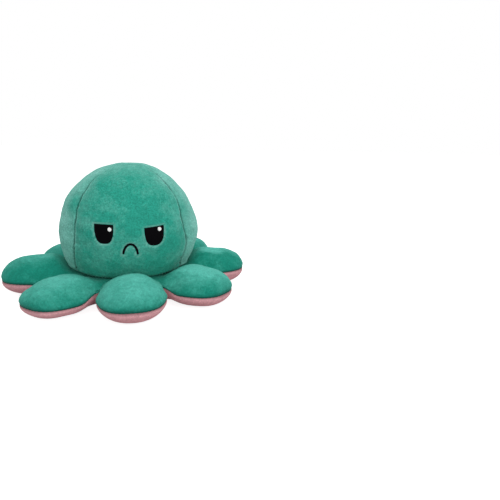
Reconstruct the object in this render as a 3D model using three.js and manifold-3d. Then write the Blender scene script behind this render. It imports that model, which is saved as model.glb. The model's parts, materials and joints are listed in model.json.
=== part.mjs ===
// A reversible plush octopus with its teal side out: a round head of four gores on eight stuffed
// tentacles, pink fabric underneath, and a pink pocket inside the head that turns out to make the
// other face. It stands on z = 0 with its middle on the z axis, and its face looks along -y.

import * as THREE from "three";
import { mergeVertices } from "three/addons/utils/BufferGeometryUtils.js";
import Module from "manifold-3d";

const wasm = await Module();
wasm.setup();

// Lengths are in millimetres and angles in degrees. An azimuth is 0 at the front and grows towards +x.

// Fabric and sewing
const FABRIC = 1.6;
const SEAM_GAP = 0.3;
const REST_CUT = 0.5;
const CUT_OVERRUN = 6;

// Head
const HEAD_RADIUS = 59;
const NECK_TURN_RADIUS = 9;
const NECK_ANGLE = 116;
const FRONT_SEAM_ANGLE = 47;
const BACK_SEAM_ANGLE = 135;

// Tentacles, each measured outwards from the line where it folds up and down
const TENTACLE_NAMES = [
  "front", "front_left", "left", "back_left", "back", "back_right", "right", "front_right",
];
const TENTACLE_LENGTH = 38.5;
const TENTACLE_TOP_HEIGHT = 16;
const TENTACLE_UNDER_DEPTH = 13;
const TENTACLE_SWELL = 3.6;
const TENTACLE_SWELL_SHARE = 0.4;
const TENTACLE_PLUMPNESS = 2.6;
const TENTACLE_ROOT_GAP = 3.1;
const FOLD_CLEARANCE = 0.5;
const NECK_BAND = 2.6;
const HEAD_SEAT_GAP = 0.75;

// Web between the tentacles
const NOTCH_SETBACK = 3.3;
const NOTCH_RISE = 2.5;
const WEB_CREST_RISE = 2;
const WEB_SAG_POWER = 1.5;
const WEB_FILLING_SHARE = 0.72;
const NECK_FILLING_HEIGHT = 6;

// Pocket inside the head
const NECK_FILLING = 11;
const POCKET_DEPTH = 61;
const LIP_RADIUS = 12;
const MOUTH_SEAM_ANGLE = 35;

// Embroidery, placed by the arc across and up from the front of the head's widest line
const THREAD = 0.8;
const EYE_WIDTH = 15.8;
const EYE_HEIGHT = 15.1;
const EYE_BROW_SHARE = 0.38;
const EYE_BROW_SLOPE = 3;
const EYE_PLUMPNESS = 2.3;
const LEFT_EYE_ACROSS = -19.7;
const LEFT_EYE_UP = 9.6;
const RIGHT_EYE_ACROSS = 19.6;
const RIGHT_EYE_UP = 6.9;
const GLINT_RADIUS = 1.8;
const GLINT_ACROSS = 4.4;
const GLINT_UP = 2.6;
const MOUTH_ACROSS = 0.2;
const MOUTH_UP = -8.5;
const MOUTH_HALF_WIDTH = 5.4;
const MOUTH_RISE = 8.2;
const MOUTH_TILT = -2.6;
const STROKE = 1.7;

// Embroidery of the pocket's face, placed by the arc across and the height over the floor
const POCKET_EYE_ACROSS = 14;
const POCKET_EYE_UP = 33;
const POCKET_EYE_WIDTH = 16.6;
const POCKET_EYE_HEIGHT = 19.6;
const POCKET_GLINT_RADIUS = 2.2;
const POCKET_GLINT_RISE = 3.6;
const SMILE_UP = 19;
const SMILE_HALF_WIDTH = 6;
const SMILE_DROP = 7;

// Facets
const GORE_COLUMNS = 8;
const GORE_ROWS = 10;
const NECK_ROWS = 4;
const LINING_COLUMNS = 6;
const DOME_ROWS = 5;
const LIP_ROWS = 2;
const WEB_STEPS_PER_TENTACLE = 6;
const TENTACLE_ROOT_ROWS = 4;
const TENTACLE_TIP_ROWS = 6;
const TENTACLE_ARCS = 6;
const FILLING_ARCS = 10;
const TURNED_SEGMENTS = 24;
const FOLD_SEGMENTS = 16;
const OUTLINE_STEPS = 18;

// Angles in degrees, with a true zero at each right angle
const rounded = (value) => Number(value.toFixed(12));
const sin = (angle) => rounded(Math.sin(THREE.MathUtils.degToRad(angle)));
const cos = (angle) => rounded(Math.cos(THREE.MathUtils.degToRad(angle)));
const tan = (angle) => Math.tan(THREE.MathUtils.degToRad(angle));
const degrees = THREE.MathUtils.radToDeg;
const mix = THREE.MathUtils.lerp;
const steps = (count) => Array.from({ length: count + 1 }, (_, index) => index / count);

// How far the middle of a facet dips under a round surface, for its steps of so many degrees
const dip = (radius, ...sides) => sides.reduce((sum, step) => sum + radius * (1 - cos(step / 2)), 0);

// Worked out from the sizes above
const turnCentreRadius = (HEAD_RADIUS - NECK_TURN_RADIUS) * sin(NECK_ANGLE);
const neckRadius = turnCentreRadius;
const tentaclePitch = 360 / TENTACLE_NAMES.length;
const foldRadius = Math.max(TENTACLE_TOP_HEIGHT, TENTACLE_UNDER_DEPTH);
const foldRoomRadius = foldRadius + dip(foldRadius, 360 / FOLD_SEGMENTS) + FOLD_CLEARANCE;
const foldReach = neckRadius + NECK_BAND + foldRoomRadius;
const edgeSeamHeight = TENTACLE_UNDER_DEPTH - REST_CUT;
const rootHalfWidth = foldReach * tan(tentaclePitch / 2) - TENTACLE_ROOT_GAP;
const headCentreHeight =
  edgeSeamHeight + Math.sqrt((HEAD_RADIUS + HEAD_SEAT_GAP + foldRadius) ** 2 - foldReach ** 2);
const turnCentreHeight = headCentreHeight + (HEAD_RADIUS - NECK_TURN_RADIUS) * cos(NECK_ANGLE);
const neckHeight = turnCentreHeight - NECK_TURN_RADIUS;
const pocketRadius = neckRadius - NECK_FILLING - FABRIC;
const domeHeight = POCKET_DEPTH - pocketRadius;
const lipCentreRadius = pocketRadius + LIP_RADIUS;
const lipCentreHeight = LIP_RADIUS - REST_CUT;
const notchReach = foldReach - NOTCH_SETBACK;
const webTopHeight = neckHeight - SEAM_GAP;
const tipReach = foldReach + TENTACLE_LENGTH;

// Materials
const fabric = (color) => new THREE.MeshStandardMaterial({ color, roughness: 0.95, metalness: 0 });
const thread = (color) => new THREE.MeshStandardMaterial({ color, roughness: 0.5, metalness: 0 });
const tealPlush = fabric("#3aa78f");
const pinkPlush = fabric("#e59bb0");
const fibre = fabric("#f4f2ec");
const blackThread = thread("#141214");
const whiteThread = thread("#f5f5f5");

// Closed meshes

// A mesh's corners joined where they lie together, with the triangles that this flattens left out
// and the rest facing outwards.
function weld(geometry) {
  geometry.deleteAttribute("normal");
  geometry.deleteAttribute("uv");
  const joined = mergeVertices(geometry);
  const corners = joined.index.array;
  const point = (corner) => new THREE.Vector3().fromBufferAttribute(joined.attributes.position, corner);
  const kept = [];
  let volume = 0;
  for (let i = 0; i < corners.length; i += 3) {
    const [a, b, c] = corners.slice(i, i + 3);
    if (a === b || b === c || c === a) continue;
    kept.push(a, b, c);
    volume += point(a).dot(point(b).cross(point(c)));
  }
  return joined.setIndex(volume < 0 ? kept.reverse() : kept);
}

// The skin over a row of loops of equally many points. The first and last loops are joined to each
// other in a ring, or else closed, each by a strip between its two halves.
function loft(loops, { ring = false } = {}) {
  const size = loops[0].length;
  const index = [];
  const quad = (a, b, c, d) => index.push(a, b, c, a, c, d);
  const spans = ring ? loops.length : loops.length - 1;
  for (let row = 0; row < spans; row += 1) {
    const here = row * size;
    const next = ((row + 1) % loops.length) * size;
    for (let i = 0; i < size; i += 1) {
      const j = (i + 1) % size;
      quad(here + i, here + j, next + j, next + i);
    }
  }
  if (!ring) {
    const last = (loops.length - 1) * size;
    for (let i = 0; i < size / 2 - 1; i += 1) {
      quad(i, size - 1 - i, size - 2 - i, i + 1);
      quad(last + i, last + i + 1, last + size - 2 - i, last + size - 1 - i);
    }
  }
  return weld(new THREE.BufferGeometry().setFromPoints(loops.flat()).setIndex(index));
}

// A profile of [radius, height] points from the axis back to the axis, turned round the z axis.
function turned(profile, segments) {
  const points = profile.map(([radius, height]) => new THREE.Vector2(radius, height));
  return weld(new THREE.LatheGeometry(points, segments).rotateX(Math.PI / 2));
}

function solidOf(geometry) {
  const mesh = new wasm.Mesh({
    numProp: 3,
    vertProperties: new Float32Array(geometry.attributes.position.array),
    triVerts: new Uint32Array(geometry.index.array),
  });
  return new wasm.Manifold(mesh);
}

function geometryOf(solid) {
  const { vertProperties, triVerts } = solid.getMesh();
  return new THREE.BufferGeometry()
    .setAttribute("position", new THREE.BufferAttribute(vertProperties, 3))
    .setIndex(new THREE.BufferAttribute(triVerts, 1));
}

function piece(name, geometry, material) {
  const mesh = new THREE.Mesh(geometry, material);
  mesh.name = name;
  return mesh;
}

// Head

// The way out of a ball at a polar angle from its crown and an azimuth.
const heading = (polar, azimuth) =>
  new THREE.Vector3(sin(polar) * sin(azimuth), -sin(polar) * cos(azimuth), cos(polar));

// The head's profile at a polar angle, at a depth under its surface: a ball whose lower end turns
// in to the neck seam on a smaller radius.
function headProfile(polar, depth) {
  if (polar <= NECK_ANGLE) {
    const radius = HEAD_RADIUS - depth;
    return [radius * sin(polar), headCentreHeight + radius * cos(polar)];
  }
  const radius = NECK_TURN_RADIUS - depth;
  return [turnCentreRadius + radius * sin(polar), turnCentreHeight + radius * cos(polar)];
}

// A point of a turned surface: a profile's point swung out to an azimuth.
const swung = ([radius, height], azimuth) =>
  new THREE.Vector3(radius * sin(azimuth), -radius * cos(azimuth), height);

// One gore between two seams, in rows from its tip down a profile. Half a seam's gap stays free
// along each side.
function gore({ from, to, columns, stations, profile }) {
  const loops = stations.map((station) => {
    const inset = degrees(Math.asin(Math.min(1, SEAM_GAP / 2 / profile(station, 0)[0])));
    const start = Math.min(from + inset, (from + to) / 2);
    const end = Math.max(to - inset, (from + to) / 2);
    const row = (depth) =>
      steps(columns).map((share) => swung(profile(station, depth), mix(start, end, share)));
    return [...row(0), ...row(FABRIC).reverse()];
  });
  return loft(loops);
}

// Each gore with the azimuths of its two seams
const GORES = [
  ["front", -FRONT_SEAM_ANGLE, FRONT_SEAM_ANGLE],
  ["right", FRONT_SEAM_ANGLE, BACK_SEAM_ANGLE],
  ["back", BACK_SEAM_ANGLE, 360 - BACK_SEAM_ANGLE],
  ["left", 360 - BACK_SEAM_ANGLE, 360 - FRONT_SEAM_ANGLE],
];

// The polar angle at which a gore's two sides, half a gap in from their seams, meet.
const tipAngle = (radius, halfWidth) => degrees(Math.asin(SEAM_GAP / 2 / (radius * sin(halfWidth))));

function headPanels() {
  return GORES.map(([name, from, to]) => {
    const tip = tipAngle(HEAD_RADIUS, (to - from) / 2);
    const stations = [
      ...steps(GORE_ROWS).map((share) => mix(tip, NECK_ANGLE, share)),
      ...steps(NECK_ROWS).slice(1).map((share) => mix(NECK_ANGLE, 180, share)),
    ];
    const panel = gore({ from, to, columns: GORE_COLUMNS, stations, profile: headProfile });
    return piece("head_panel_" + name, panel, tealPlush);
  });
}

// Pocket

// The pocket's profile at a depth behind its surface. Stations 0 to 1 are the dome, 1 to 2 the
// upright wall and 2 to 3 the lip that rolls out to the floor.
function pocketProfile(station, depth) {
  if (station <= 1) {
    const radius = pocketRadius + depth;
    return [radius * sin(90 * station), domeHeight + radius * cos(90 * station)];
  }
  if (station <= 2) {
    return [pocketRadius + depth, mix(domeHeight, lipCentreHeight, station - 1)];
  }
  const radius = LIP_RADIUS - depth;
  const angle = 90 * (station - 2);
  return [lipCentreRadius - radius * cos(angle), lipCentreHeight - radius * sin(angle)];
}

// Where on the lip the lining ends, sewn to the tentacles' underside
const mouthSeamStation = 2 + MOUTH_SEAM_ANGLE / 90;

function liningPanels() {
  return GORES.map(([name, from, to]) => {
    const tip = tipAngle(pocketRadius, (to - from) / 2) / 90;
    const stations = [
      ...steps(DOME_ROWS).map((share) => mix(tip, 1, share)),
      ...steps(LIP_ROWS).map((share) => mix(2, mouthSeamStation, share)),
    ];
    const panel = gore({ from, to, columns: LINING_COLUMNS, stations, profile: pocketProfile });
    return piece("lining_panel_" + name, panel, pinkPlush);
  });
}

// Web between the tentacles

// 0 on a tentacle's middle line and 1 in the valley between two tentacles.
const valleyShare = (azimuth) => (1 - Math.cos((2 * Math.PI * azimuth) / tentaclePitch)) / 2;

// The web ends square across each tentacle, so its edge is an eight-sided outline.
function webReach(azimuth) {
  const turns = Math.round(azimuth / tentaclePitch);
  return notchReach / cos(azimuth - turns * tentaclePitch);
}

// Top of the web: it climbs a little to each tentacle and falls to the edge seam in each valley.
function webTop(azimuth, share) {
  const notchHeight = edgeSeamHeight + NOTCH_RISE + SEAM_GAP / 2 + FABRIC;
  const edge = mix(webTopHeight + WEB_CREST_RISE, notchHeight, valleyShare(azimuth));
  return [mix(neckRadius, webReach(azimuth), share), mix(webTopHeight, edge, share)];
}

// Underside of the web beyond the lip: flat on the floor at each tentacle, arched in each valley.
function webUnder(azimuth, share) {
  const notchHeight = edgeSeamHeight + NOTCH_RISE - SEAM_GAP / 2 - FABRIC;
  const rise = (notchHeight + REST_CUT) * valleyShare(azimuth) * share ** WEB_SAG_POWER;
  return [mix(lipCentreRadius, webReach(azimuth), share), rise - REST_CUT];
}

// Where the web's sections have their points, from its inner edge to its outer one. The filling
// under the web ends at the last but one.
const webShares = [0, WEB_FILLING_SHARE / 2, WEB_FILLING_SHARE, 1];

const webAzimuths = steps(TENTACLE_NAMES.length * WEB_STEPS_PER_TENTACLE)
  .slice(1)
  .map((share) => 360 * share);

// A closed section at each azimuth, joined in a ring.
function ringOf(sectionAt) {
  const loops = webAzimuths.map((azimuth) => sectionAt(azimuth).map((point) => swung(point, azimuth)));
  return solidOf(loft(loops, { ring: true }));
}

// The room that a tentacle's root needs to fold: a barrel round its fold line.
function foldRooms() {
  const halfWidth = rootHalfWidth + FOLD_CLEARANCE;
  const profile = steps(FOLD_SEGMENTS / 2).map((share) => {
    const angle = mix(-90, 90, share);
    return [foldRoomRadius * cos(angle), halfWidth * sin(angle)];
  });
  return TENTACLE_NAMES.map((_, index) => {
    const barrel = turned(profile, FOLD_SEGMENTS)
      .rotateX(Math.PI / 2)
      .translate(foldReach, 0, edgeSeamHeight)
      .rotateZ(tentacleTurn(index));
    return solidOf(barrel);
  });
}

// A block from the floor down, for cutting flat what the toy rests on.
function belowFloor() {
  const span = 2 * (tipReach + CUT_OVERRUN);
  const block = new THREE.BoxGeometry(span, span, CUT_OVERRUN).translate(0, 0, -CUT_OVERRUN / 2);
  return solidOf(weld(block));
}

const subtractAll = (solid, cutters) =>
  cutters.reduce((left, cutter) => left.subtract(cutter), solid);

function tentacleRings() {
  const top = ringOf((azimuth) => {
    const line = webShares.map((share) => webTop(azimuth, share));
    return [...line, ...line.map(([radius, height]) => [radius, height - FABRIC]).reverse()];
  });
  const innerStation = mouthSeamStation + degrees(SEAM_GAP / LIP_RADIUS) / 90;
  const under = ringOf((azimuth) => {
    const side = (depth) => [
      ...steps(LIP_ROWS).map((share) => pocketProfile(mix(innerStation, 3, share), depth)),
      ...webShares.slice(1).map((share) => {
        const [radius, height] = webUnder(azimuth, share);
        return [radius, height + depth];
      }),
    ];
    return [...side(FABRIC), ...side(0).reverse()];
  });
  const cutters = foldRooms();
  return [
    piece("tentacle_ring_top", geometryOf(subtractAll(top, cutters)), tealPlush),
    piece("tentacle_ring_under", geometryOf(subtractAll(under, [...cutters, belowFloor()])), pinkPlush),
  ];
}

// Filling of the head, down through the neck into the web, round the pocket and clear of the folds.
function headFilling() {
  const goreStep = Math.max(2 * FRONT_SEAM_ANGLE, BACK_SEAM_ANGLE - FRONT_SEAM_ANGLE) / GORE_COLUMNS;
  const skinDepth = FABRIC + SEAM_GAP;
  const headDepth = skinDepth + dip(HEAD_RADIUS, goreStep, NECK_ANGLE / GORE_ROWS);
  const skullRows = steps(GORE_ROWS + NECK_ROWS).map((share) => headProfile(180 * share, headDepth));
  const skull = [...skullRows, [0, skullRows.at(-1)[1]]];

  const collarRadius = neckRadius - SEAM_GAP - dip(neckRadius, goreStep);
  const collarTop = neckHeight + NECK_FILLING_HEIGHT;
  const web = ringOf((azimuth) => {
    const under = webShares.slice(0, -1).map((share) => webUnder(azimuth, share));
    const top = webShares.slice(1, -1).map((share) => webTop(azimuth, share));
    return [
      [pocketRadius, collarTop],
      [pocketRadius, skinDepth - REST_CUT],
      ...under.map(([radius, height]) => [radius, height + skinDepth]),
      ...top.map(([radius, height]) => [radius, height - skinDepth]).reverse(),
      [collarRadius, webTopHeight - skinDepth],
      [collarRadius, collarTop],
    ];
  });

  const domeStep = 90 / (2 * DOME_ROWS);
  const pocketDepth = skinDepth + dip(pocketRadius, 360 / TURNED_SEGMENTS, domeStep);
  const hollow = [
    ...steps(2 * DOME_ROWS).map((share) => pocketProfile(share, pocketDepth)),
    ...steps(2 * LIP_ROWS).map((share) => pocketProfile(mix(2, 3, share), pocketDepth)),
    [lipCentreRadius, -CUT_OVERRUN],
    [0, -CUT_OVERRUN],
  ];

  const filled = solidOf(turned(skull, TURNED_SEGMENTS)).add(web);
  const cut = subtractAll(filled, [solidOf(turned(hollow, TURNED_SEGMENTS)), ...foldRooms()]);
  return piece("head_stuffing", geometryOf(cut), fibre);
}

// Tentacles, drawn along +x and then turned round the toy's axis

const tentacleTurn = (index) => THREE.MathUtils.degToRad(-90 - index * tentaclePitch);

// A tentacle's swelling at a station from -1, the root's end, through 0, the fold line, to 1, the
// tip: how far out it lies and what share of the full section is left there.
function tentacleStation(station, depth) {
  if (station < 0) {
    const angle = -90 * station;
    return { reach: foldReach - (foldRadius - depth) * sin(angle), share: cos(angle), swell: 0 };
  }
  const out = sin(90 * station);
  return {
    reach: foldReach + (TENTACLE_LENGTH - depth) * out,
    share: (1 - out ** TENTACLE_PLUMPNESS) ** (1 / TENTACLE_PLUMPNESS),
    swell: TENTACLE_SWELL * THREE.MathUtils.smoothstep(out, 0, TENTACLE_SWELL_SHARE),
  };
}

const tentacleStations = [
  ...steps(TENTACLE_ROOT_ROWS).map((share) => share - 1),
  ...steps(TENTACLE_TIP_ROWS).slice(1),
];

// Points along part of a tentacle's oval section, from one angle to another.
function sectionArc({ station, depth, from, to, arcs, height, base }) {
  const { reach, share, swell } = tentacleStation(station, depth);
  const halfWidth = share * (rootHalfWidth + swell - depth);
  const halfHeight = share * (height - depth);
  return steps(arcs).map((along) => {
    const angle = mix(from, to, along);
    return new THREE.Vector3(reach, halfWidth * cos(angle), base + halfHeight * sin(angle));
  });
}

function tentacleSkin(sign) {
  const shape = {
    height: sign > 0 ? TENTACLE_TOP_HEIGHT : TENTACLE_UNDER_DEPTH,
    base: edgeSeamHeight + (sign * SEAM_GAP) / 2,
    from: 0,
    to: sign * 180,
    arcs: TENTACLE_ARCS,
  };
  const loops = tentacleStations.map((station) => {
    const outer = sectionArc({ ...shape, station, depth: 0 });
    const inner = sectionArc({ ...shape, station, depth: FABRIC });
    return [...outer, ...inner.reverse()];
  });
  return solidOf(loft(loops));
}

function tentacleFilling() {
  const facetDip = dip(rootHalfWidth + TENTACLE_SWELL, 180 / TENTACLE_ARCS);
  const depth = FABRIC + SEAM_GAP + facetDip;
  const loops = tentacleStations.map((station) => {
    const half = { station, depth, base: edgeSeamHeight, arcs: FILLING_ARCS / 2 };
    const top = sectionArc({ ...half, from: 0, to: 180, height: TENTACLE_TOP_HEIGHT });
    const under = sectionArc({ ...half, from: 180, to: 360, height: TENTACLE_UNDER_DEPTH });
    return [...top.slice(0, -1), ...under.slice(0, -1)];
  });
  return loft(loops);
}

function tentacles() {
  const top = geometryOf(tentacleSkin(1));
  const under = geometryOf(tentacleSkin(-1).subtract(belowFloor()));
  const filling = tentacleFilling();
  return TENTACLE_NAMES.map((name, index) => {
    const group = new THREE.Group();
    group.rotation.z = tentacleTurn(index);
    group.add(
      piece("tentacle_top_" + name, top, tealPlush),
      piece("tentacle_under_" + name, under, pinkPlush),
      piece("tentacle_stuffing_" + name, filling, fibre),
    );
    return group;
  });
}

// Embroidery

// A flat outline [across, up] laid on a curved surface as a pad of thread, by rings of points from
// the outline in to its middle.
function pad(outline, place, base, rings = 2) {
  const mean = (axis) => outline.reduce((sum, point) => sum + point[axis], 0) / outline.length;
  const middle = [mean(0), mean(1)];
  const ringAt = (share, height) =>
    outline.map((point) => {
      const [across, up] = [0, 1].map((axis) => mix(middle[axis], point[axis], share));
      return place(across, up, height);
    });
  const shares = steps(rings);
  const loops = [
    ...shares.map((share) => ringAt(share, base)),
    ...shares.map((share) => ringAt(share, base + THREAD)).reverse(),
  ];
  return loft(loops);
}

// A stroke of thread along a line [across, up] on a curved surface.
function strokeAlong(line, place, base) {
  const loops = line.map(([across, up], index) => {
    const before = line[Math.max(0, index - 1)];
    const after = line[Math.min(line.length - 1, index + 1)];
    const along = new THREE.Vector2(after[0] - before[0], after[1] - before[1]).normalize();
    const row = (height) =>
      [-STROKE / 2, 0, STROKE / 2].map((side) =>
        place(across - side * along.y, up + side * along.x, height),
      );
    return [...row(base), ...row(base + THREAD).reverse()];
  });
  return loft(loops);
}

// A point over the head, by the arc across and up from the front of its widest line.
function overHead(across, up, height) {
  const rise = degrees(up / HEAD_RADIUS);
  const turn = degrees(across / (HEAD_RADIUS * cos(rise)));
  return heading(90 - rise, turn)
    .multiplyScalar(HEAD_RADIUS + height)
    .add(new THREE.Vector3(0, 0, headCentreHeight));
}

// A point inside the pocket, by the arc across its front wall and the height over the floor. The
// wall is upright up to the dome's foot and the dome carries on above.
function insidePocket(across, up, height) {
  const turn = degrees(across / pocketRadius);
  const radius = pocketRadius - height;
  const rise = degrees(Math.max(0, up - domeHeight) / pocketRadius);
  const reach = radius * cos(rise);
  const level = Math.min(up, domeHeight) + radius * sin(rise);
  return new THREE.Vector3(reach * sin(turn), -reach * cos(turn), level);
}

// An eye with a nearly straight brow and a full round lower edge. The brow drops towards the nose.
function frowningEye(across, up, side) {
  const brow = EYE_HEIGHT * EYE_BROW_SHARE;
  const drop = EYE_HEIGHT - brow;
  const round = steps(OUTLINE_STEPS / 2).map((share) => {
    const angle = mix(180, 360, share);
    const power = 2 / EYE_PLUMPNESS;
    const x = Math.sign(cos(angle)) * Math.abs(cos(angle)) ** power;
    return [(x * EYE_WIDTH) / 2, -(Math.abs(sin(angle)) ** power) * drop];
  });
  const line = steps(OUTLINE_STEPS / 2).map((share) => {
    const x = mix(1, -1, share);
    return [(x * EYE_WIDTH) / 2, brow + (side * x * tan(EYE_BROW_SLOPE) * EYE_WIDTH) / 2];
  });
  return [...round, ...line].map(([x, y]) => [across + x, up + y]);
}

const oval = (across, up, halfWidth, halfHeight) =>
  steps(OUTLINE_STEPS)
    .slice(1)
    .map((share) => [across + halfWidth * cos(360 * share), up + halfHeight * sin(360 * share)]);

// An arch of thread from foot to foot, tilted about its middle.
const arch = (across, up, halfWidth, rise, tilt) =>
  steps(OUTLINE_STEPS / 2).map((share) => {
    const angle = 180 * (1 - share);
    const [x, y] = [halfWidth * cos(angle), rise * sin(angle)];
    return [across + x * cos(tilt) - y * sin(tilt), up + x * sin(tilt) + y * cos(tilt)];
  });

function frowningFace() {
  const glintBase = 2 * SEAM_GAP + THREAD;
  const eyes = [
    ["left", LEFT_EYE_ACROSS, LEFT_EYE_UP, -1],
    ["right", RIGHT_EYE_ACROSS, RIGHT_EYE_UP, 1],
  ].flatMap(([name, across, up, side]) => {
    const glint = oval(across + GLINT_ACROSS, up + GLINT_UP, GLINT_RADIUS, GLINT_RADIUS);
    return [
      piece("eye_" + name, pad(frowningEye(across, up, side), overHead, SEAM_GAP), blackThread),
      piece("eye_glint_" + name, pad(glint, overHead, glintBase, 1), whiteThread),
    ];
  });
  const line = arch(MOUTH_ACROSS, MOUTH_UP, MOUTH_HALF_WIDTH, MOUTH_RISE, MOUTH_TILT);
  return [...eyes, piece("mouth", strokeAlong(line, overHead, SEAM_GAP), blackThread)];
}

function smilingFace() {
  const base = SEAM_GAP + dip(pocketRadius, (2 * FRONT_SEAM_ANGLE) / LINING_COLUMNS, 90 / DOME_ROWS);
  const glintBase = base + THREAD + SEAM_GAP;
  const eyes = [
    ["left", -1],
    ["right", 1],
  ].flatMap(([name, side]) => {
    const across = side * POCKET_EYE_ACROSS;
    const eye = oval(across, POCKET_EYE_UP, POCKET_EYE_WIDTH / 2, POCKET_EYE_HEIGHT / 2);
    const glintUp = POCKET_EYE_UP + POCKET_GLINT_RISE;
    const glint = oval(across, glintUp, POCKET_GLINT_RADIUS, POCKET_GLINT_RADIUS);
    return [
      piece("lining_eye_" + name, pad(eye, insidePocket, base), blackThread),
      piece("lining_eye_glint_" + name, pad(glint, insidePocket, glintBase, 1), whiteThread),
    ];
  });
  const line = arch(0, SMILE_UP, SMILE_HALF_WIDTH, -SMILE_DROP, 0);
  return [...eyes, piece("lining_mouth", strokeAlong(line, insidePocket, base), blackThread)];
}

const octopus = new THREE.Group();
octopus.add(
  ...headPanels(),
  ...liningPanels(),
  headFilling(),
  ...tentacleRings(),
  ...tentacles(),
  ...frowningFace(),
  ...smilingFace(),
);

export default octopus;
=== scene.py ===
"""A reversible plush octopus with its teal side out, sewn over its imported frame.

The head is four gores of short pile with an embroidered frown, the tentacles are a teal rosette
sewn to a pink one along their outline, and the pink pocket inside the head carries the other face.
Shapes are worked out in millimetres and written in metres. The toy stands on z = 0, its middle is
on the z axis and its face looks along -y. An azimuth is 0 at the front and grows towards +x.
"""

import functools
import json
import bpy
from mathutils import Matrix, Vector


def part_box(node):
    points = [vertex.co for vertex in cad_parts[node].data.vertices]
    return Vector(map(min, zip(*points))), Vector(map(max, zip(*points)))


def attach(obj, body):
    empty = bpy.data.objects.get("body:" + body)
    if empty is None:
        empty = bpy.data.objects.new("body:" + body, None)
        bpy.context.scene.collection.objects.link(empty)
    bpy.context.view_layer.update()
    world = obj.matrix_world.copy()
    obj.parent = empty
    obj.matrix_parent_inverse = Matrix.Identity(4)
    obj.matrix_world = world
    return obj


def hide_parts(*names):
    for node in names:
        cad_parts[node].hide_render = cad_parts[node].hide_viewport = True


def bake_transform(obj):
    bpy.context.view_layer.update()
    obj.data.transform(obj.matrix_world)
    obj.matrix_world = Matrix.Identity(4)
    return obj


bl_info = {
    "name": "Plush Octopus",
    "version": (1, 0, 0),
    "blender": (4, 5, 0),
    "location": "View3D > Sidebar > Octopus",
    "description": "Sews a reversible plush octopus over its packed frame",
    "category": "Add Mesh",
}

import bpy
import numpy as np
from mathutils import Matrix

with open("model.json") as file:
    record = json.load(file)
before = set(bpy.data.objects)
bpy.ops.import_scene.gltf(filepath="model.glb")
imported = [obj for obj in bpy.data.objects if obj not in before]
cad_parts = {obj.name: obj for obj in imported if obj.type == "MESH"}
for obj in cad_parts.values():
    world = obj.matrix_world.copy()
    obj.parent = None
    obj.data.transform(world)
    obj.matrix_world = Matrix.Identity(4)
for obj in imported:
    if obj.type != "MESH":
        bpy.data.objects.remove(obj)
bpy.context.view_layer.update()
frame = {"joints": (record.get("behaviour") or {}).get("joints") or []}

MM = 0.001

# From the frame: the head's ball and the lines where the tentacles fold
HEAD_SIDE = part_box("head_panel_right")[1].x / MM
HEAD_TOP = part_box("head_panel_front")[1].z / MM
TIP_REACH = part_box("tentacle_top_right")[1].x / MM
RIDGE_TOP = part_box("tentacle_top_right")[1].z / MM
FOLDS = {j["child"].removeprefix("tentacle_"): np.array(j["pos_m"]) / MM for j in frame["joints"]}
FOLD_REACH = float(np.hypot(*FOLDS["front"][:2]))
FOLD_HEIGHT = float(FOLDS["front"][2])

# Tentacles in turn round the toy, 45 degrees apart: how much further than the frame's the real one
# reaches, how far its tip leans aside, how much higher its ridge and its edge seam lie (mm), and how
# far its pile is brushed up, a share that also paints its light and shade (0 to 1)
TENTACLES = {
    "front": (-1.0, 0.0, 1.8, 1.0, 0.62),
    "front_right": (-0.5, 0.0, 1.0, 0.5, 0.5),
    "right": (0.5, 0.0, 3.6, 3.0, 0.05),
    "back_right": (1.0, 0.0, 4.0, 2.0, 0.3),
    "back": (0.0, 0.0, 1.0, 0.0, 0.6),
    "back_left": (3.0, -2.0, -0.5, 0.0, 0.3),
    "left": (1.0, 0.0, 3.4, 1.5, 0.12),
    "front_left": (-0.3, 0.0, -2.5, -1.6, 0.5),
}
PITCH = 360 / len(TENTACLES)

# Thickness of the plush, the polar angle where the head leaves its ball and the smaller circle on
# which it turns in to the neck seam (mm and degrees)
FABRIC = 1.6
NECK_ANGLE = 116
NECK_TURN_RADIUS = 9

# The pocket: a dome on an upright wall, then a lip that rolls out to the floor, with the mouth's
# seam part of the way round it (mm and degrees)
POCKET_RADIUS = 32.34
POCKET_DEPTH = 61
LIP_RADIUS = 12
LIP_MIDDLE = LIP_RADIUS - 0.5
MOUTH_SEAM_ANGLE = 35

# Outline of a tentacle: its notch with the next one, its widest half (mm) and how square its tip is
NOTCH_REACH = 62.5
NOTCH_X = NOTCH_REACH * np.sin(np.radians(PITCH / 2))
NOTCH_Y = NOTCH_REACH * np.cos(np.radians(PITCH / 2))
HALF_WIDTH = 26.6
TIP_POWER = 2.7

# Rows and columns of the grids, and how far across a tentacle each column lies
GORE_ROWS, GORE_COLUMNS = 134, 96
TENTACLE_ROWS, TENTACLE_COLUMNS = 52, 72
ACROSS = np.linspace(-1, 1, TENTACLE_COLUMNS + 1)
LIP_ROWS = 8


def linear(code):
    """The linear colour of an sRGB hex code."""
    srgb = np.array([int(code[i : i + 2], 16) for i in (1, 3, 5)]) / 255
    return tuple(np.where(srgb <= 0.04045, srgb / 12.92, ((srgb + 0.055) / 1.055) ** 2.4))


def length(name, description, default):
    """A size of the add-on, its default in mm."""
    return bpy.props.FloatProperty(
        name=name, description=description, default=default * MM, unit="LENGTH", precision=4
    )


def colour(name, description, code):
    """A colour of the add-on, its default a hex code."""
    return bpy.props.FloatVectorProperty(
        name=name, description=description, default=linear(code), subtype="COLOR", min=0, max=1
    )


class OctopusSizes(bpy.types.PropertyGroup):
    head_radius: length("Head radius", "Radius of the stuffed head", HEAD_SIDE - 0.6)
    seam_depth: length("Seam depth", "How deep a seam's groove is", 1.6)
    seam_pull: length("Seam pull", "How far a seam draws the head in around it", 1.1)
    tip_reach: length("Tip reach", "From the middle to a tentacle's tip", TIP_REACH)
    edge_bulge: length("Edge bulge", "How far a tentacle swells over its edge seam", 1.0)
    thread: length("Embroidery", "Height of the embroidery over the fabric", 0.8)


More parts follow.
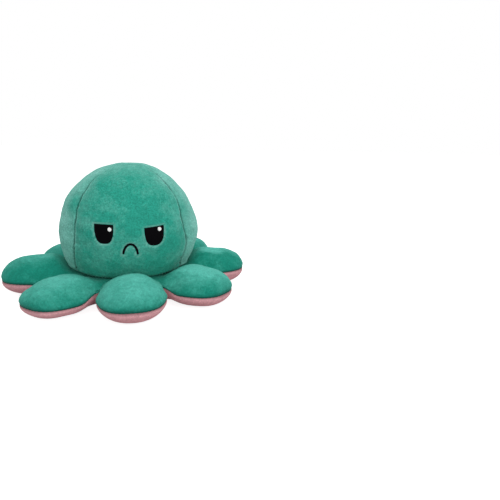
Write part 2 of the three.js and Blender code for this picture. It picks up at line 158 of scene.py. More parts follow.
class OctopusColours(bpy.types.PropertyGroup):
    teal_face: colour("Teal head", "Head, its pile brushed down", "#2c9c88")
    # Also the painted sheen on the head's crown, welts and sides
    teal_side_and_sheen: colour("Pale teal head", "Head, its pile brushed up", "#84cabd")
    teal_tentacle: colour("Teal tentacles", "Tentacles, their pile brushed down", "#1b8976")
    # Also the painted sheen and light on the tentacles' tops
    teal_ridge_and_sheen: colour("Pale teal tentacles", "Tentacles, their pile brushed up", "#5cc0b0")
    pink: colour("Pink", "Underside and pocket, their pile brushed down", "#d4969c")
    # Also the painted light along the tentacles' edge seam
    pink_pale_and_lit: colour("Pale pink", "Underside and pocket, their pile brushed up", "#e4aab0")
    filling: colour("Filling", "Polyester fibre", "#f2f0ea")
    black: colour("Black thread", "Eyes and mouth", "#030204")
    white: colour("White thread", "Glints in the eyes", "#f4f4f2")
    # Darker than the plush: the thread's dark line also stands for the shade in the seams' grooves
    teal_thread_and_shade: colour("Teal thread", "Seams of the teal plush", "#0d5548")
    pink_thread: colour("Pink thread", "Seams of the pocket", "#9c6066")
    floor: colour("Floor", "Floor and backdrop", "#ffffff")


def sizes(name):
    """One of the add-on's sizes in mm."""
    return getattr(bpy.context.scene.octopus_sizes, name) / MM


def tint(name):
    """One of the add-on's colours."""
    return tuple(getattr(bpy.context.scene.octopus_colours, name))


# Arrays

deg = np.degrees
rad = np.radians


def mix(a, b, share):
    """From a at a share of 0 to b at 1."""
    return a + (b - a) * share


def smooth(x, start, end):
    """0 before start, 1 after end, and 3t^2 - 2t^3 between them."""
    t = np.clip((x - start) / (end - start), 0, 1)
    return t * t * (3 - 2 * t)


def bell(x, width):
    """exp(-(x / width)^2): 1 at 0, and close to 0 beyond twice the width."""
    return np.exp(-((x / width) ** 2))


def unit(vectors):
    """The vectors, each divided by its length."""
    return vectors / np.maximum(np.linalg.norm(vectors, axis=-1, keepdims=True), 1e-9)


def lumps(points, size, seed):
    """Soft unevenness of about 1: a sum of 14 sine waves through space, their lengths from 0.7 to
    1.5 times the size and their ways and phases drawn from the seed."""
    rng = np.random.default_rng(seed)
    ways = unit(rng.normal(size=(14, 3)))
    ways *= 2 * np.pi / (size * rng.uniform(0.7, 1.5, (14, 1)))
    waves = np.sin(points @ ways.T + rng.uniform(0, 2 * np.pi, 14))
    return waves.sum(-1) / np.sqrt(7)


def turn_from(start, azimuth):
    """The way round from one azimuth to another, from -180 to 180 degrees."""
    return (azimuth - start + 180) % 360 - 180


def spots(table, polar, azimuth):
    """The sum of soft spots on the head: each one's change times exp(-a^2 - p^2), with a and p how far
    a point lies from it in azimuth and polar angle, over its spreads."""
    total = np.zeros(np.broadcast_shapes(polar.shape, azimuth.shape))
    for spot_azimuth, spot_polar, wide, tall, change in table:
        a = turn_from(spot_azimuth, azimuth) / wide
        p = (polar - spot_polar) / tall
        total += change * np.exp(-(a**2) - p**2)
    return total


def run_along(line):
    """How far along a line each of its points lies."""
    return np.concatenate([[0], np.cumsum(np.linalg.norm(np.diff(line, axis=0), axis=1))])


def spread_along(line, run, at):
    """Points at those lengths along a line."""
    return np.stack([np.interp(at, run, part) for part in line.T], 1)


def ring_of(arrays):
    """One ring of columns from one array for each piece of it, which share their border columns."""
    return np.concatenate([a[:, :-1] for a in arrays], axis=1)


def take(ring, index, columns):
    """One piece's columns of a ring, with the first of the next piece."""
    return ring[:, (index * columns + np.arange(columns + 1)) % ring.shape[1]]


def normals(ring, side):
    """Unit normals of a ring of columns: the cross product of its steps along the columns and
    along the rows, times a side of 1 or -1."""
    closed = np.concatenate([ring[:, -1:], ring, ring[:, :1]], axis=1)
    along_columns = np.gradient(closed, axis=0)
    along_rows = np.gradient(closed, axis=1)
    return unit(side * np.cross(along_columns, along_rows)[:, 1:-1])


def swung(radius, height, azimuth):
    """Points at a distance from the z axis, a height and an azimuth in degrees."""
    turn = rad(azimuth)
    return np.stack(
        np.broadcast_arrays(radius * np.sin(turn), -radius * np.cos(turn), height), axis=-1
    )


# Meshes

def grid_faces(rows, columns, first=0, wrap=False):
    """Quads of a grid of points numbered row by row; wrap joins the last column to the first."""
    r, c = np.meshgrid(np.arange(rows - 1), np.arange(columns - (not wrap)), indexing="ij")
    a = r * columns + c
    b = r * columns + (c + 1) % columns
    return first + np.stack([a, b, b + columns, a + columns], axis=-1).reshape(-1, 4)


def rim_faces(rows, columns):
    """Quads between the borders of two grids of one size, the second numbered after the first."""
    top = np.arange(columns)
    right = np.arange(rows) * columns + columns - 1
    bottom = (rows - 1) * columns + np.arange(columns)[::-1]
    left = np.arange(rows)[::-1] * columns
    loop = np.concatenate([top[:-1], right[:-1], bottom[:-1], left[:-1]])
    after = np.roll(loop, -1)
    size = rows * columns
    return np.stack([after, loop, loop + size, after + size], axis=-1)


def welded(points, quads):
    """Joins points (mm) that lie together and drops quads that this leaves flat. Returns the quads,
    which old points are kept and which new point each old one is."""
    keys = np.round(points * 2000).astype(np.int64)
    _, first, same = np.unique(keys, axis=0, return_index=True, return_inverse=True)
    same = same.reshape(-1)
    quads = same[quads]
    twin = quads == np.roll(quads, -1, axis=1)
    whole = (twin.sum(axis=1) < 2) & (quads[:, 0] != quads[:, 2]) & (quads[:, 1] != quads[:, 3])
    return quads[whole], first, same


def corner_lists(quads):
    """Quads as lists of corners, those with a doubled corner as triangles."""
    twin = quads == np.roll(quads, -1, axis=1)
    thin = twin.any(axis=1)
    return quads[~thin].tolist() + quads[thin][~twin[thin]].reshape(-1, 3).tolist()


def linked(name, data):
    """A new object in the scene."""
    item = bpy.data.objects.new(name, data)
    bpy.context.scene.collection.objects.link(item)
    return item


def mesh_object(name, points, quads, attributes=None):
    """A closed mesh object from points in mm and quads, its faces turned to enclose a positive
    volume."""
    quads, first, _ = welded(points, quads)
    points = points[first]
    a, b, c, d = (points[quads[:, i]] for i in range(4))
    volume = np.einsum("ij,ij->", a, np.cross(b, c)) + np.einsum("ij,ij->", a, np.cross(c, d))
    if volume < 0:
        quads = quads[:, ::-1]
    mesh = bpy.data.meshes.new(name)
    mesh.from_pydata(points * MM, [], corner_lists(quads))
    for key, values in (attributes or {}).items():
        layer = mesh.attributes.new(key, "FLOAT", "POINT")
        layer.data.foreach_set("value", values.reshape(-1)[first].astype(np.float32))
    mesh.polygons.foreach_set("use_smooth", np.ones(len(mesh.polygons), bool))
    mesh.update()
    mesh.set_sharp_from_angle(angle=rad(70))
    return linked(name, mesh)


def tube(name, grid):
    """A closed mesh object of rings of points, one after another. The first and the last ring are
    each a single point, or one and the same ring."""
    return mesh_object(name, grid.reshape(-1, 3), grid_faces(*grid.shape[:2], wrap=True))


def shell(name, outer, inner, **attributes):
    """A closed skin between two grids, joined along their borders."""
    rows, columns = outer.shape[:2]
    size = rows * columns
    quads = [
        grid_faces(rows, columns),
        grid_faces(rows, columns, size)[:, ::-1],
        rim_faces(rows, columns),
    ]
    points = np.concatenate([outer.reshape(-1, 3), inner.reshape(-1, 3)])
    doubled = {key: np.concatenate([v.ravel(), v.ravel()]) for key, v in attributes.items()}
    return mesh_object(name, points, np.concatenate(quads), doubled)


def dress(piece, material, *, body="head", replaces=()):
    """Gives a piece its material and its body if it has one, and hides the nodes that it stands for."""
    piece.data.materials.append(material)
    if body:
        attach(piece, body)
    if replaces:
        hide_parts(*replaces)


def bend(piece):
    """Bakes a piece's place into its mesh."""
    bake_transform(piece)


# Cloth

CLOTH_FRAMES = 20


def swelling(ring, outwards, pinned, growth, bending, most):
    """How far a ring of columns moves along its outward normals (mm) when it is simulated as cloth
    that is blown up from inside and cut a little larger than its seams, so that it swells between
    them and puckers along them. Pinned is 1 on the seams. Every second row and column is
    simulated, and the rest lies between them. A move levels off towards the most it may be."""
    net, held, outwards = ring[::2, ::2], pinned[::2, ::2], outwards[::2, ::2]
    rows, columns = net.shape[:2]
    flat = net.reshape(-1, 3)
    quads, first, same = welded(flat, grid_faces(rows, columns, wrap=True))
    a, b, c = (flat[first][quads[:, i]] for i in range(3))
    if (np.cross(b - a, c - a) * outwards.reshape(-1, 3)[first][quads[:, 0]]).sum() < 0:
        quads = quads[:, ::-1]
    mesh = bpy.data.meshes.new("cloth_net")
    mesh.from_pydata(flat[first] * MM, [], corner_lists(quads))
    cloth = linked("cloth_net", mesh)
    pins = cloth.vertex_groups.new(name="seams")
    weights = held.reshape(-1)[first]
    for level in np.unique(weights[weights > 0]):
        pins.add(np.where(weights == level)[0].tolist(), float(level), "REPLACE")
    modifier = cloth.modifiers.new("Cloth", "CLOTH")
    fabric = modifier.settings
    fabric.vertex_group_mass = "seams"
    fabric.quality = 5
    fabric.mass = 0.3
    fabric.tension_stiffness = fabric.compression_stiffness = 40
    fabric.bending_stiffness = bending
    fabric.shrink_min = -growth
    fabric.use_pressure = True
    fabric.uniform_pressure_force = 4
    fabric.effector_weights.gravity = 0
    modifier.collision_settings.use_collision = False
    modifier.point_cache.frame_start, modifier.point_cache.frame_end = 1, CLOTH_FRAMES
    scene = bpy.context.scene
    for step in range(1, CLOTH_FRAMES + 1):
        scene.frame_set(step)
    posed = cloth.evaluated_get(bpy.context.evaluated_depsgraph_get()).to_mesh()
    moved = np.empty(len(posed.vertices) * 3)
    posed.vertices.foreach_get("co", moved)
    cloth.to_mesh_clear()
    bpy.data.objects.remove(cloth)
    bpy.data.meshes.remove(mesh)
    scene.frame_set(1)
    shift = ((moved.reshape(-1, 3) / MM)[same].reshape(net.shape) - net) * outwards
    shift = most * np.tanh(shift.sum(-1) / most)
    return between(softened(shift), ring.shape[:2])


def softened(values):
    """Means of each value of a ring with its neighbours, taken twice: a quarter, a half and a
    quarter, first round the ring and then down its columns, whose ends stay."""
    for _ in range(2):
        values = values / 2 + (np.roll(values, 1, 1) + np.roll(values, -1, 1)) / 4
        inner = values[1:-1] / 2 + (values[2:] + values[:-2]) / 4
        values = np.concatenate([values[:1], inner, values[-1:]])
    return values


def between(values, shape):
    """Values on every second row and column of a ring, spread over all of them."""
    rows = np.arange(shape[0])
    spread = np.stack([np.interp(rows, rows[::2], column) for column in values.T], axis=1)
    closed = np.concatenate([spread, spread[:, :1]], axis=1)
    columns = np.arange(shape[1])
    at = np.arange(closed.shape[1]) * 2
    return np.stack([np.interp(columns, at, row) for row in closed])


# Materials

def add(tree, kind, settings=None, links=None):
    """A node of a kind, with its settings, and its inputs linked from other nodes' outputs."""
    node = tree.nodes.new(kind)
    for key, value in (settings or {}).items():
        if isinstance(key, str) and hasattr(node, key):
            setattr(node, key, value)
        else:
            node.inputs[key].default_value = value
    for key, output in (links or {}).items():
        tree.links.new(output, node.inputs[key])
    return node


def new_material(name):
    """A material and its tree, empty but for the output."""
    material = bpy.data.materials.new(name)
    material.use_nodes = True
    tree = material.node_tree
    tree.nodes.clear()
    return material, tree, add(tree, "ShaderNodeOutputMaterial")


def rgba(colour, gain=1.0):
    """A colour times a gain, with full alpha."""
    return (*[min(1.0, c * gain) for c in colour], 1.0)


def noise(tree, place, millimetres, detail, roughness=0.6, distortion=0.0):
    """Noise with features of a size in mm."""
    settings = {
        "Scale": 1 / (millimetres * MM), "Detail": detail, "Roughness": roughness,
        "Distortion": distortion,
    }
    return add(tree, "ShaderNodeTexNoise", settings, {"Vector": place}).outputs["Fac"]


def shade(tree, pattern, low, high):
    """Noise, most of which lies between 0.3 and 0.7, as a factor from low to high."""
    settings = {"From Min": 0.3, "From Max": 0.7, "To Min": low, "To Max": high}
    return add(tree, "ShaderNodeMapRange", settings, {"Value": pattern}).outputs["Result"]


def times(tree, tone, factor):
    """A tone times a factor."""
    settings = {"data_type": "RGBA", "blend_type": "MULTIPLY", 0: 1.0}
    return add(tree, "ShaderNodeMix", settings, {6: tone, 7: factor}).outputs[2]


def over(tree, share, under, colour):
    """A share of a colour over a tone."""
    settings = {"data_type": "RGBA", 7: rgba(colour)}
    return add(tree, "ShaderNodeMix", settings, {0: share, 6: under}).outputs[2]


def dyed(tree, key, pattern, low, high):
    """One of the add-on's colours, varied by noise from low to high."""
    dye = add(tree, "ShaderNodeRGB").outputs[0]
    dye.default_value = rgba(tint(key))
    return times(tree, dye, shade(tree, pattern, low, high))


def attribute(tree, name):
    """A value that the mesh carries at its points."""
    return add(tree, "ShaderNodeAttribute", {"attribute_name": name}).outputs["Fac"]


def surface(tree, output, tone, pattern, strength, depth, settings):
    """A tone with the bumps of a pattern, of a strength and a depth in mm, as the surface."""
    bump = add(
        tree, "ShaderNodeBump", {"Strength": strength, "Distance": depth * MM}, {"Height": pattern}
    )
    links = {"Base Color": tone, "Normal": bump.outputs["Normal"]}
    shader = add(tree, "ShaderNodeBsdfPrincipled", settings, links)
    tree.links.new(shader.outputs["BSDF"], output.inputs["Surface"])


@functools.cache
def plush(name, down, up, tufted=0.34, bloom=0.4):
    """Velboa, a knitted polyester plush with a cut pile about 1.5 mm long. The pile scatters light
    from its sides, so it looks matt with a pale bloom where it is seen edge on. It is deep in colour
    where it is brushed down, pale where it is brushed up, and lies in mottled patches. The mesh's nap
    value, which sets that, also paints light, shade and sheen, and its seam and halo values paint
    shade in the seams and a highlight round the embroidery. Tufted is how much the tufts differ, and
    bloom how much the pile shows where it is seen edge on."""
    material, tree, output = new_material(name)
    deep, pale = tint(down), tint(up)
    place = add(tree, "ShaderNodeTexCoord").outputs["Object"]
    patches = noise(tree, place, 16, 3.0)
    strokes = noise(tree, place, 3.2, 3.0, 0.65, 0.6)
    # Tufts of pile. Real ones are 0.3 mm wide; 1.1 mm is the finest that the picture holds
    tufts = noise(tree, place, 1.1, 3.0, 0.75)
    # The pile's lie, from brushed down to brushed up, which also carries painted light, shade and
    # sheen, and which the patches and strokes vary
    lie = attribute(tree, "nap")
    for pattern, change, clamped in ((patches, 0.18, False), (strokes, 0.07, True)):
        lie = add(
            tree, "ShaderNodeMath", {"operation": "ADD", "use_clamp": clamped},
            {0: lie, 1: shade(tree, pattern, -change, change)},
        ).outputs[0]
    tone = add(
        tree, "ShaderNodeMix", {"data_type": "RGBA", 6: rgba(deep), 7: rgba(pale)}, {0: lie}
    ).outputs[2]
    tone = times(tree, tone, shade(tree, strokes, 0.9, 1.1))
    tone = times(tree, tone, shade(tree, tufts, 1 - tufted, 1 + tufted))
    # Painted shade in a seam's groove, where the pile is also pressed, and a painted highlight on the
    # pile combed up round the embroidery
    tone = over(tree, attribute(tree, "seam"), tone, [c * 0.16 for c in deep])
    tone = over(tree, attribute(tree, "halo"), tone, [mix(c, 0.8, 0.15) for c in pale])
    settings = {
        "Roughness": 0.95,
        "Specular IOR Level": 0.1,
        "Sheen Weight": bloom,
        "Sheen Roughness": 0.4,
        "Sheen Tint": rgba([mix(c, 1.0, 0.08) for c in pale]),
    }
    surface(tree, output, tone, tufts, 0.8, 0.6, settings)
    return material


@functools.cache
def thread(name, key):
    """Thread: rayon laid side by side in satin stitch, or spun polyester in a seam. Its filaments
    give it a very faint gloss in fine lines."""
    material, tree, output = new_material(name)
    place = add(tree, "ShaderNodeTexCoord").outputs["Object"]
    filaments = noise(tree, place, 0.9, 2.0)
    tone = dyed(tree, key, filaments, 0.75, 1.25)
    surface(tree, output, tone, filaments, 0.4, 0.2, {"Roughness": 0.6, "Specular IOR Level": 0.03})
    return material


@functools.cache
def fibre(name, key):
    """Polyester fibrefill: crimped white fibres, a soft translucent wool without gloss."""
    material, tree, output = new_material(name)
    place = add(tree, "ShaderNodeTexCoord").outputs["Object"]
    clumps = noise(tree, place, 6, 6.0, 0.75)
    tone = dyed(tree, key, clumps, 0.85, 1.0)
    surface(tree, output, tone, clumps, 0.7, 1.0, {"Roughness": 1.0, "Specular IOR Level": 0.1})
    return material


# Head

GORES = ("front", "right", "back", "left")


def seam_azimuths(polar):
    """Azimuths of the four head seams at polar angles, each the left side of its gore. The front
    ones wander as they do on the stuffed toy, the right one out towards the neck."""
    left = -51.5 + 2.7 * smooth(polar, 50, 76) - 10 * smooth(polar, 84, 130)
    right = 51.6 + 3.1 * smooth(polar, 30, 52) - 5.3 * smooth(polar, 56, 76)
    right += 2.6 * smooth(polar, 80, 96) + 4.4 * smooth(polar, 104, 128)
    back_right = 135 + 2 * np.sin(rad(2.2 * polar))
    back_left = 225 - 2.5 * np.sin(rad(1.8 * polar))
    return np.stack(np.broadcast_arrays(left, right, back_right, back_left, left + 360))


def head_place(polar, azimuth, rise):
    """Points over the head: along the way out at a polar angle, from the ball's middle, or below
    the neck angle from the middle of the smaller circle that turns in to the neck seam."""
    radius = sizes("head_radius")
    centre = HEAD_TOP - HEAD_SIDE
    turn_radius = (HEAD_SIDE - NECK_TURN_RADIUS) * np.sin(rad(NECK_ANGLE))
    turn_height = centre + (HEAD_SIDE - NECK_TURN_RADIUS) * np.cos(rad(NECK_ANGLE))
    over = polar <= NECK_ANGLE
    grown = (radius - HEAD_SIDE) * (1 - smooth(polar, 100, 150))
    out = np.where(over, 0, turn_radius)
    up = np.where(over, centre, turn_height)
    reach = np.where(over, HEAD_SIDE, NECK_TURN_RADIUS) + grown + rise
    return swung(out + reach * np.sin(rad(polar)), up + reach * np.cos(rad(polar)), azimuth)


# Where the stuffing makes the head fuller or flatter: azimuth and polar angle, their spreads, and
# the rise (mm)
HEAD_LEANS = (
    (82, 57, 45, 22, -0.9),
    (82, 92, 45, 17, 2.6),
    (82, 115, 50, 14, -1.6),
    (-82, 85, 45, 40, -2.2),
    (-70, 28, 50, 20, -1.8),
    (70, 25, 50, 20, 0.8),
)

# Where a hand has brushed the head's pile up or down: azimuth and polar angle, their spreads, and
# the change of its lie
HEAD_STROKES = (
    (-50, 42, 20, 13, 0.06),
    (48, 40, 20, 13, 0.25),
    (-57, 61, 9, 8, -0.45),
    (62, 68, 10, 9, -0.25),
    (-37, 75, 12, 5, 0.2),
    (-24, 62, 16, 4, 0.14),
    (22, 58, 18, 6, -0.12),
    (33, 97, 9, 7, -0.1),
    (-22, 101, 18, 9, 0.1),
    (0, 68, 24, 9, -0.07),
    (8, 76, 10, 5, -0.08),
)


# Beside a head seam (mm): how wide it draws the ball in, its groove, and its welt's distance and
# width; and how far that welt and the puckers across the seam rise
PULL_WIDTH, GROOVE_WIDTH, WELT_GAP, WELT_WIDTH = 9, 0.95, 2.0, 0.9
WELT_RISE, PUCKER_RISE = 0.25, 0.5


def head_rise(polar, azimuth, seams=True):
    """How far the skin stands over the plain ball (mm), how deep a point lies in a seam, which is also
    the share of painted shade there, and how far up on the welt beside it, where the front gore gets
    painted sheen (0 to 1). Each seam draws the ball in over some 9 mm and sinks a groove along itself,
    with a soft welt on either side, the fabric puckers across it, and the filling is a little uneven.
    All of that is less on the crown."""
    polar, azimuth = np.broadcast_arrays(polar, azimuth)
    ring = HEAD_SIDE * np.sin(rad(np.minimum(polar, 120)))
    along = HEAD_SIDE * rad(polar)
    rise = np.zeros_like(polar, dtype=float)
    groove = np.zeros_like(rise)
    welt = np.zeros_like(rise)
    crown = smooth(polar, 16, 50)
    for index, seam in enumerate(seam_azimuths(polar)[:4] if seams else ()):
        off = turn_from(seam, azimuth)
        gap = np.abs(off) * rad(1) * ring
        side = index * 2 + (off > 0)
        phase = 3 * np.sin(along / 17 + side) + 5 * side
        pucker = np.sin(along / 0.9 + phase) * np.sin(along / 11 + 2 * side) ** 4
        pucker *= bell(gap, 8) * (1 - bell(gap, 2))
        line = bell(gap, GROOVE_WIDTH)
        beside = crown * bell(gap - WELT_GAP, WELT_WIDTH)
        rise -= sizes("seam_pull") * mix(0.35, 1, crown) * bell(gap, PULL_WIDTH)
        rise -= sizes("seam_depth") * mix(0.12, 1, crown) * line
        rise += PUCKER_RISE * crown * pucker + WELT_RISE * beside
        # The groove's share is painted shade on the plush
        groove = np.maximum(groove, line * mix(0.05, 1, crown))
        welt = np.maximum(welt, beside)
    rise += spots(HEAD_LEANS, polar, azimuth) * smooth(polar, 0, 14)
    ball = head_place(polar, azimuth, 0)
    uneven = 0.4 * lumps(ball, 30, 5) + 0.12 * lumps(ball, 11, 6) + 0.05 * lumps(ball, 3.4, 7)
    rise += uneven * (1 - smooth(polar, 118, 150))
    return rise, groove, welt


def face_place(across, up):
    """Polar angle and azimuth at an arc across and an arc up from the front of the widest line."""
    polar = 90 - deg(up / HEAD_SIDE)
    return polar, deg(across / (HEAD_SIDE * np.sin(rad(polar))))


def face_arcs(polar, azimuth):
    """Those arcs at a polar angle and an azimuth, in mm."""
    across = HEAD_SIDE * np.sin(rad(polar)) * rad(azimuth)
    return np.stack(np.broadcast_arrays(across, HEAD_SIDE * rad(90 - polar)), -1)


# Embroidery, all in arcs across and up (mm)

# How square an eye's lower edge is, how wide a stroke of satin stitch is, how far embroidery presses
# the plush in and how far the pocket's stands in front of its wall (mm)
EYE_POWER = 2.8
STROKE = 1.9
PRESSED = 0.7
POCKET_GAP = 0.4


def frowning_eye(left, right, bottom):
    """An outline with a straight brow between two corners and a round lower edge: from each corner
    to the bottom runs a quarter of an oval |x|^n + |y|^n = 1."""
    turn = np.linspace(0, np.pi / 2, 30)[:, None]
    c, s = np.cos(turn) ** (2 / EYE_POWER), np.sin(turn) ** (2 / EYE_POWER)
    left, right, bottom = map(np.array, (left, right, bottom))
    down, rise = (
        np.concatenate([mix(bottom[0], corner[0], c), mix(corner[1], bottom[1], s)], 1)
        for corner in (left, right)
    )
    brow = mix(right, left, np.linspace(0, 1, 30)[:, None])
    return np.concatenate([down[:-1], rise[:0:-1], brow[:-1]])


def oval(across, up, half_width, half_height):
    """The outline of an oval about its middle."""
    turn = np.linspace(0, 2 * np.pi, 60, endpoint=False)
    return np.stack([across + half_width * np.cos(turn), up + half_height * np.sin(turn)], 1)


def arch(left, right, rise):
    """Half an oval on the line between two feet."""
    turn = np.linspace(np.pi, 0, 40)[:, None]
    left, right = np.array(left), np.array(right)
    middle, half = (left + right) / 2, (right - left) / 2
    up = np.array([-half[1], half[0]]) / np.hypot(*half) * rise
    return middle + half * np.cos(turn) + up * np.sin(turn)


EYES = {
    "left": frowning_eye((-27.6, 15.6), (-12.0, 15.1), (-19.3, 0.1)),
    "right": frowning_eye((11.4, 12.0), (27.8, 13.2), (19.2, -2.4)),
}
GLINTS = {"left": oval(-14.9, 11.4, 1.5, 1.6), "right": oval(23.6, 10.3, 1.5, 1.6)}
MOUTH = arch((-5.2, -8.3), (5.6, -8.8), 8.3)

POCKET_EYES = {"left": oval(-14, 33, 8.3, 9.8), "right": oval(14, 33, 8.3, 9.8)}
POCKET_GLINTS = {"left": oval(-14, 36.6, 2.2, 2.2), "right": oval(14, 36.6, 2.2, 2.2)}
SMILE = arch((-6, 19), (6, 19), -7)


def line_gap(points, line, closed):
    """Distance from points to a line of short straight steps, negative inside a closed one."""
    start = line if closed else line[:-1]
    step = (np.roll(line, -1, axis=0) if closed else line[1:]) - start
    flat = points.reshape(-1, 1, 2) - start
    share = np.clip((flat * step).sum(-1) / (step**2).sum(-1), 0, 1)
    gap = np.linalg.norm(flat - share[..., None] * step, axis=-1).min(axis=1)
    if closed:
        a, b = flat, flat - step
        turn = np.arctan2(a[..., 0] * b[..., 1] - a[..., 1] * b[..., 0], (a * b).sum(-1)).sum(1)
        gap = np.where(np.abs(turn) > np.pi, -gap, gap)
    return gap.reshape(points.shape[:-1])


def embroidery_gap(points):
    """Distance from points of the face to the nearest embroidery, negative inside it."""
    gaps = [line_gap(points, outline, True) for outline in EYES.values()]
    gaps.append(line_gap(points, MOUTH, False) - STROKE / 2)
    return np.minimum.reduce(gaps)


def face_rise(points):
    """How far the embroidery presses the fabric in at points of the face (mm): fully under it, and
    0.25 out again in a soft rim about it. Also how much of the pile combed up round it gets a painted
    highlight (0 to 1)."""
    gap = embroidery_gap(points)
    rise = 0.25 * bell(gap - 2.2, 1.2) - PRESSED * (1 - smooth(gap, -0.6, 1.3))
    return rise, bell(gap - 0.5, 0.6) * (gap > 0)


def head_net():
    """Polar angles of the rows of the head's grids and azimuths of each gore's columns. Columns
    crowd towards the seams; rows are 1 mm apart down the ball and closer on the turn in to the neck
    seam."""
    share = np.linspace(0, 1, GORE_COLUMNS + 1)
    share = share - 0.62 * np.sin(2 * np.pi * share) / (2 * np.pi)
    ball_rows = round(GORE_ROWS * 0.88)
    turn_rows = GORE_ROWS - ball_rows
    polar = np.concatenate(
        [np.linspace(0, NECK_ANGLE, ball_rows), np.linspace(NECK_ANGLE, 180, turn_rows + 1)[1:]]
    )[:, None]
    seams = seam_azimuths(polar[:, 0])[..., None]
    return polar, [mix(seams[i], seams[i + 1], share) for i in range(len(GORES))]


@functools.cache
def head_swelling():
    """How far the simulated cloth moves over each gore. The seams, the crown, the neck and the
    stiff embroidery stay where they are."""
    polar, gores = head_net()
    azimuth = ring_of(gores)
    in_front = (polar < NECK_ANGLE) & (np.abs(azimuth) < 60)
    clear = np.where(in_front, embroidery_gap(face_arcs(polar, azimuth)), 99)
    pinned = 1.0 * (clear < 1)
    pinned[:, ::GORE_COLUMNS] = pinned[:6] = pinned[-4:] = 1
    skin = head_place(polar, azimuth, head_rise(polar, azimuth, seams=False)[0])
    moved = swelling(skin, normals(skin, 1), pinned, 0.007, 0.4, 1.1)
    moved = moved * smooth(clear, 1.5, 7) * mix(0.3, 1, smooth(polar, 15, 40))
    return [take(moved, index, GORE_COLUMNS) for index in range(len(GORES))]


def head_gores():
    """Four skins over the head. The front one is brushed down, with painted sheen on its crown, on its
    welts and near its seams. The others are brushed up away from their seams and most of all down at
    the neck, and their pale tone is partly that pile's lie and partly painted sheen."""
    polar, gores = head_net()
    cloth = plush("Velboa_teal_head", "teal_face", "teal_side_and_sheen")
    for name, azimuth, swell in zip(GORES, gores, head_swelling()):
        rise, groove, welt = head_rise(polar, azimuth)
        rise = rise + swell
        halo = np.zeros_like(rise)
        edge = np.minimum(azimuth - azimuth[:, :1], azimuth[:, -1:] - azimuth)
        if name == "front":
            # Painted sheen on the crown, on the welts and near the seams
            nap = 0.06 + 0.3 * (1 - smooth(polar, 14, 34)) + 0.42 * welt
            nap = nap + 0.12 * (1 - smooth(edge, 3, 15))
            pressed, halo = face_rise(face_arcs(polar, azimuth))
            rise = rise + pressed * (polar < NECK_ANGLE)
            halo = halo * (polar < NECK_ANGLE)
        else:
            # Brushed-up pile, which also paints sheen on the side gores
            nap = mix(0.45, 0.8, smooth(edge, 2, 22)) + 0.1 * smooth(polar, 60, 80)
            nap = nap + 0.25 * smooth(polar, 86, 104)
        nap = nap + spots(HEAD_STROKES, polar, azimuth)
        outer = head_place(polar, azimuth, rise)
        inner = head_place(polar, azimuth, rise - FABRIC)
        piece = shell("head_gore_" + name, outer, inner, seam=groove, halo=0.45 * halo, nap=nap)
        dress(piece, cloth, replaces=["head_panel_" + name])


def over_head(points, height):
    """Points of the face, raised over the pressed fabric under the embroidery."""
    polar, azimuth = face_place(points[..., 0], points[..., 1])
    return head_place(polar, azimuth, head_rise(polar, azimuth)[0] - PRESSED + height)


def in_pocket(points, height):
    """Points of the pocket's front wall, raised inwards from it: upright up to the dome's foot,
    then over the dome."""
    across, up = points[..., 0], points[..., 1]
    foot = POCKET_DEPTH - POCKET_RADIUS
    radius = POCKET_RADIUS - POCKET_GAP - height
    lift = np.maximum(0, up - foot) / POCKET_RADIUS
    level = np.minimum(up, foot) + radius * np.sin(lift)
    return swung(radius * np.cos(lift), level, deg(across / POCKET_RADIUS))


def pad(name, outline, place, base, thick, slant, rings=22):
    """A pad of satin stitch over an outline: rings from the outline in to its middle, round at the
    edge and crowned, with ridges 0.9 mm apart across its stitches."""
    middle = outline.mean(axis=0)
    share = np.sin(np.linspace(np.pi / 2, 0, rings))[:, None, None]
    flat = middle + (outline - middle) * share
    edge = np.sqrt(np.clip(1 - share[..., 0] ** 10, 0, 1))
    crown = 1 + 0.25 * (1 - share[..., 0] ** 2)
    way = np.array([np.cos(rad(slant)), np.sin(rad(slant))])
    ridges = 0.08 * np.sin(2 * np.pi * (flat @ way) / 0.9)
    top = place(flat, base + edge * (thick * crown + ridges))
    under = place(flat, np.full(flat.shape[:2], base - 0.5))
    return tube(name, np.concatenate([top[::-1], under]))


def stroke(name, line, place, thick):
    """A satin-stitched line: a half-round section carried along it, with a stitch every 0.8 mm and
    round ends."""
    run = run_along(line)
    at = np.linspace(0, run[-1], 160)
    flat = spread_along(line, run, at)
    along = unit(np.gradient(flat, axis=0))
    aside = np.stack([-along[:, 1], along[:, 0]], 1)
    end = np.minimum(at, run[-1] - at) / (STROKE / 2)
    full = np.sqrt(np.clip(1 - (1 - np.minimum(end, 1)) ** 2, 0, 1))[:, None]
    section = rad(np.linspace(0, 360, 16, endpoint=False))
    ridges = 1 + 0.08 * np.sin(2 * np.pi * at / 0.8)
    side = full * STROKE / 2 * np.cos(section)
    rise = full * np.where(np.sin(section) > 0, thick, 0.5) * np.sin(section)
    grid = place(flat[:, None] + aside[:, None] * side[..., None], rise * ridges[:, None])
    return tube(name, grid)


def embroider(prefix, eyes, glints, mouth_name, mouth, place):
    """A face of satin stitch: two eyes with glints, and a mouth."""
    black = thread("Rayon_thread_black", "black")
    white = thread("Rayon_thread_white", "white")
    high = sizes("thread")
    for side in eyes:
        eye = pad(prefix + "satin_eye_" + side, eyes[side], place, 0, high, 82)
        dress(eye, black, replaces=[prefix + "eye_" + side])
        glint = pad(prefix + "satin_glint_" + side, glints[side], place, high * 1.1, 0.5, 8, 10)
        dress(glint, white, replaces=[prefix + "eye_glint_" + side])
    line = stroke(prefix + mouth_name, mouth, place, high)
    dress(line, black, replaces=[prefix + "mouth"])


# Seams

# Sewing thread and how long its stitches are (mm)
THREAD_RADIUS = 0.35
STITCH = 3


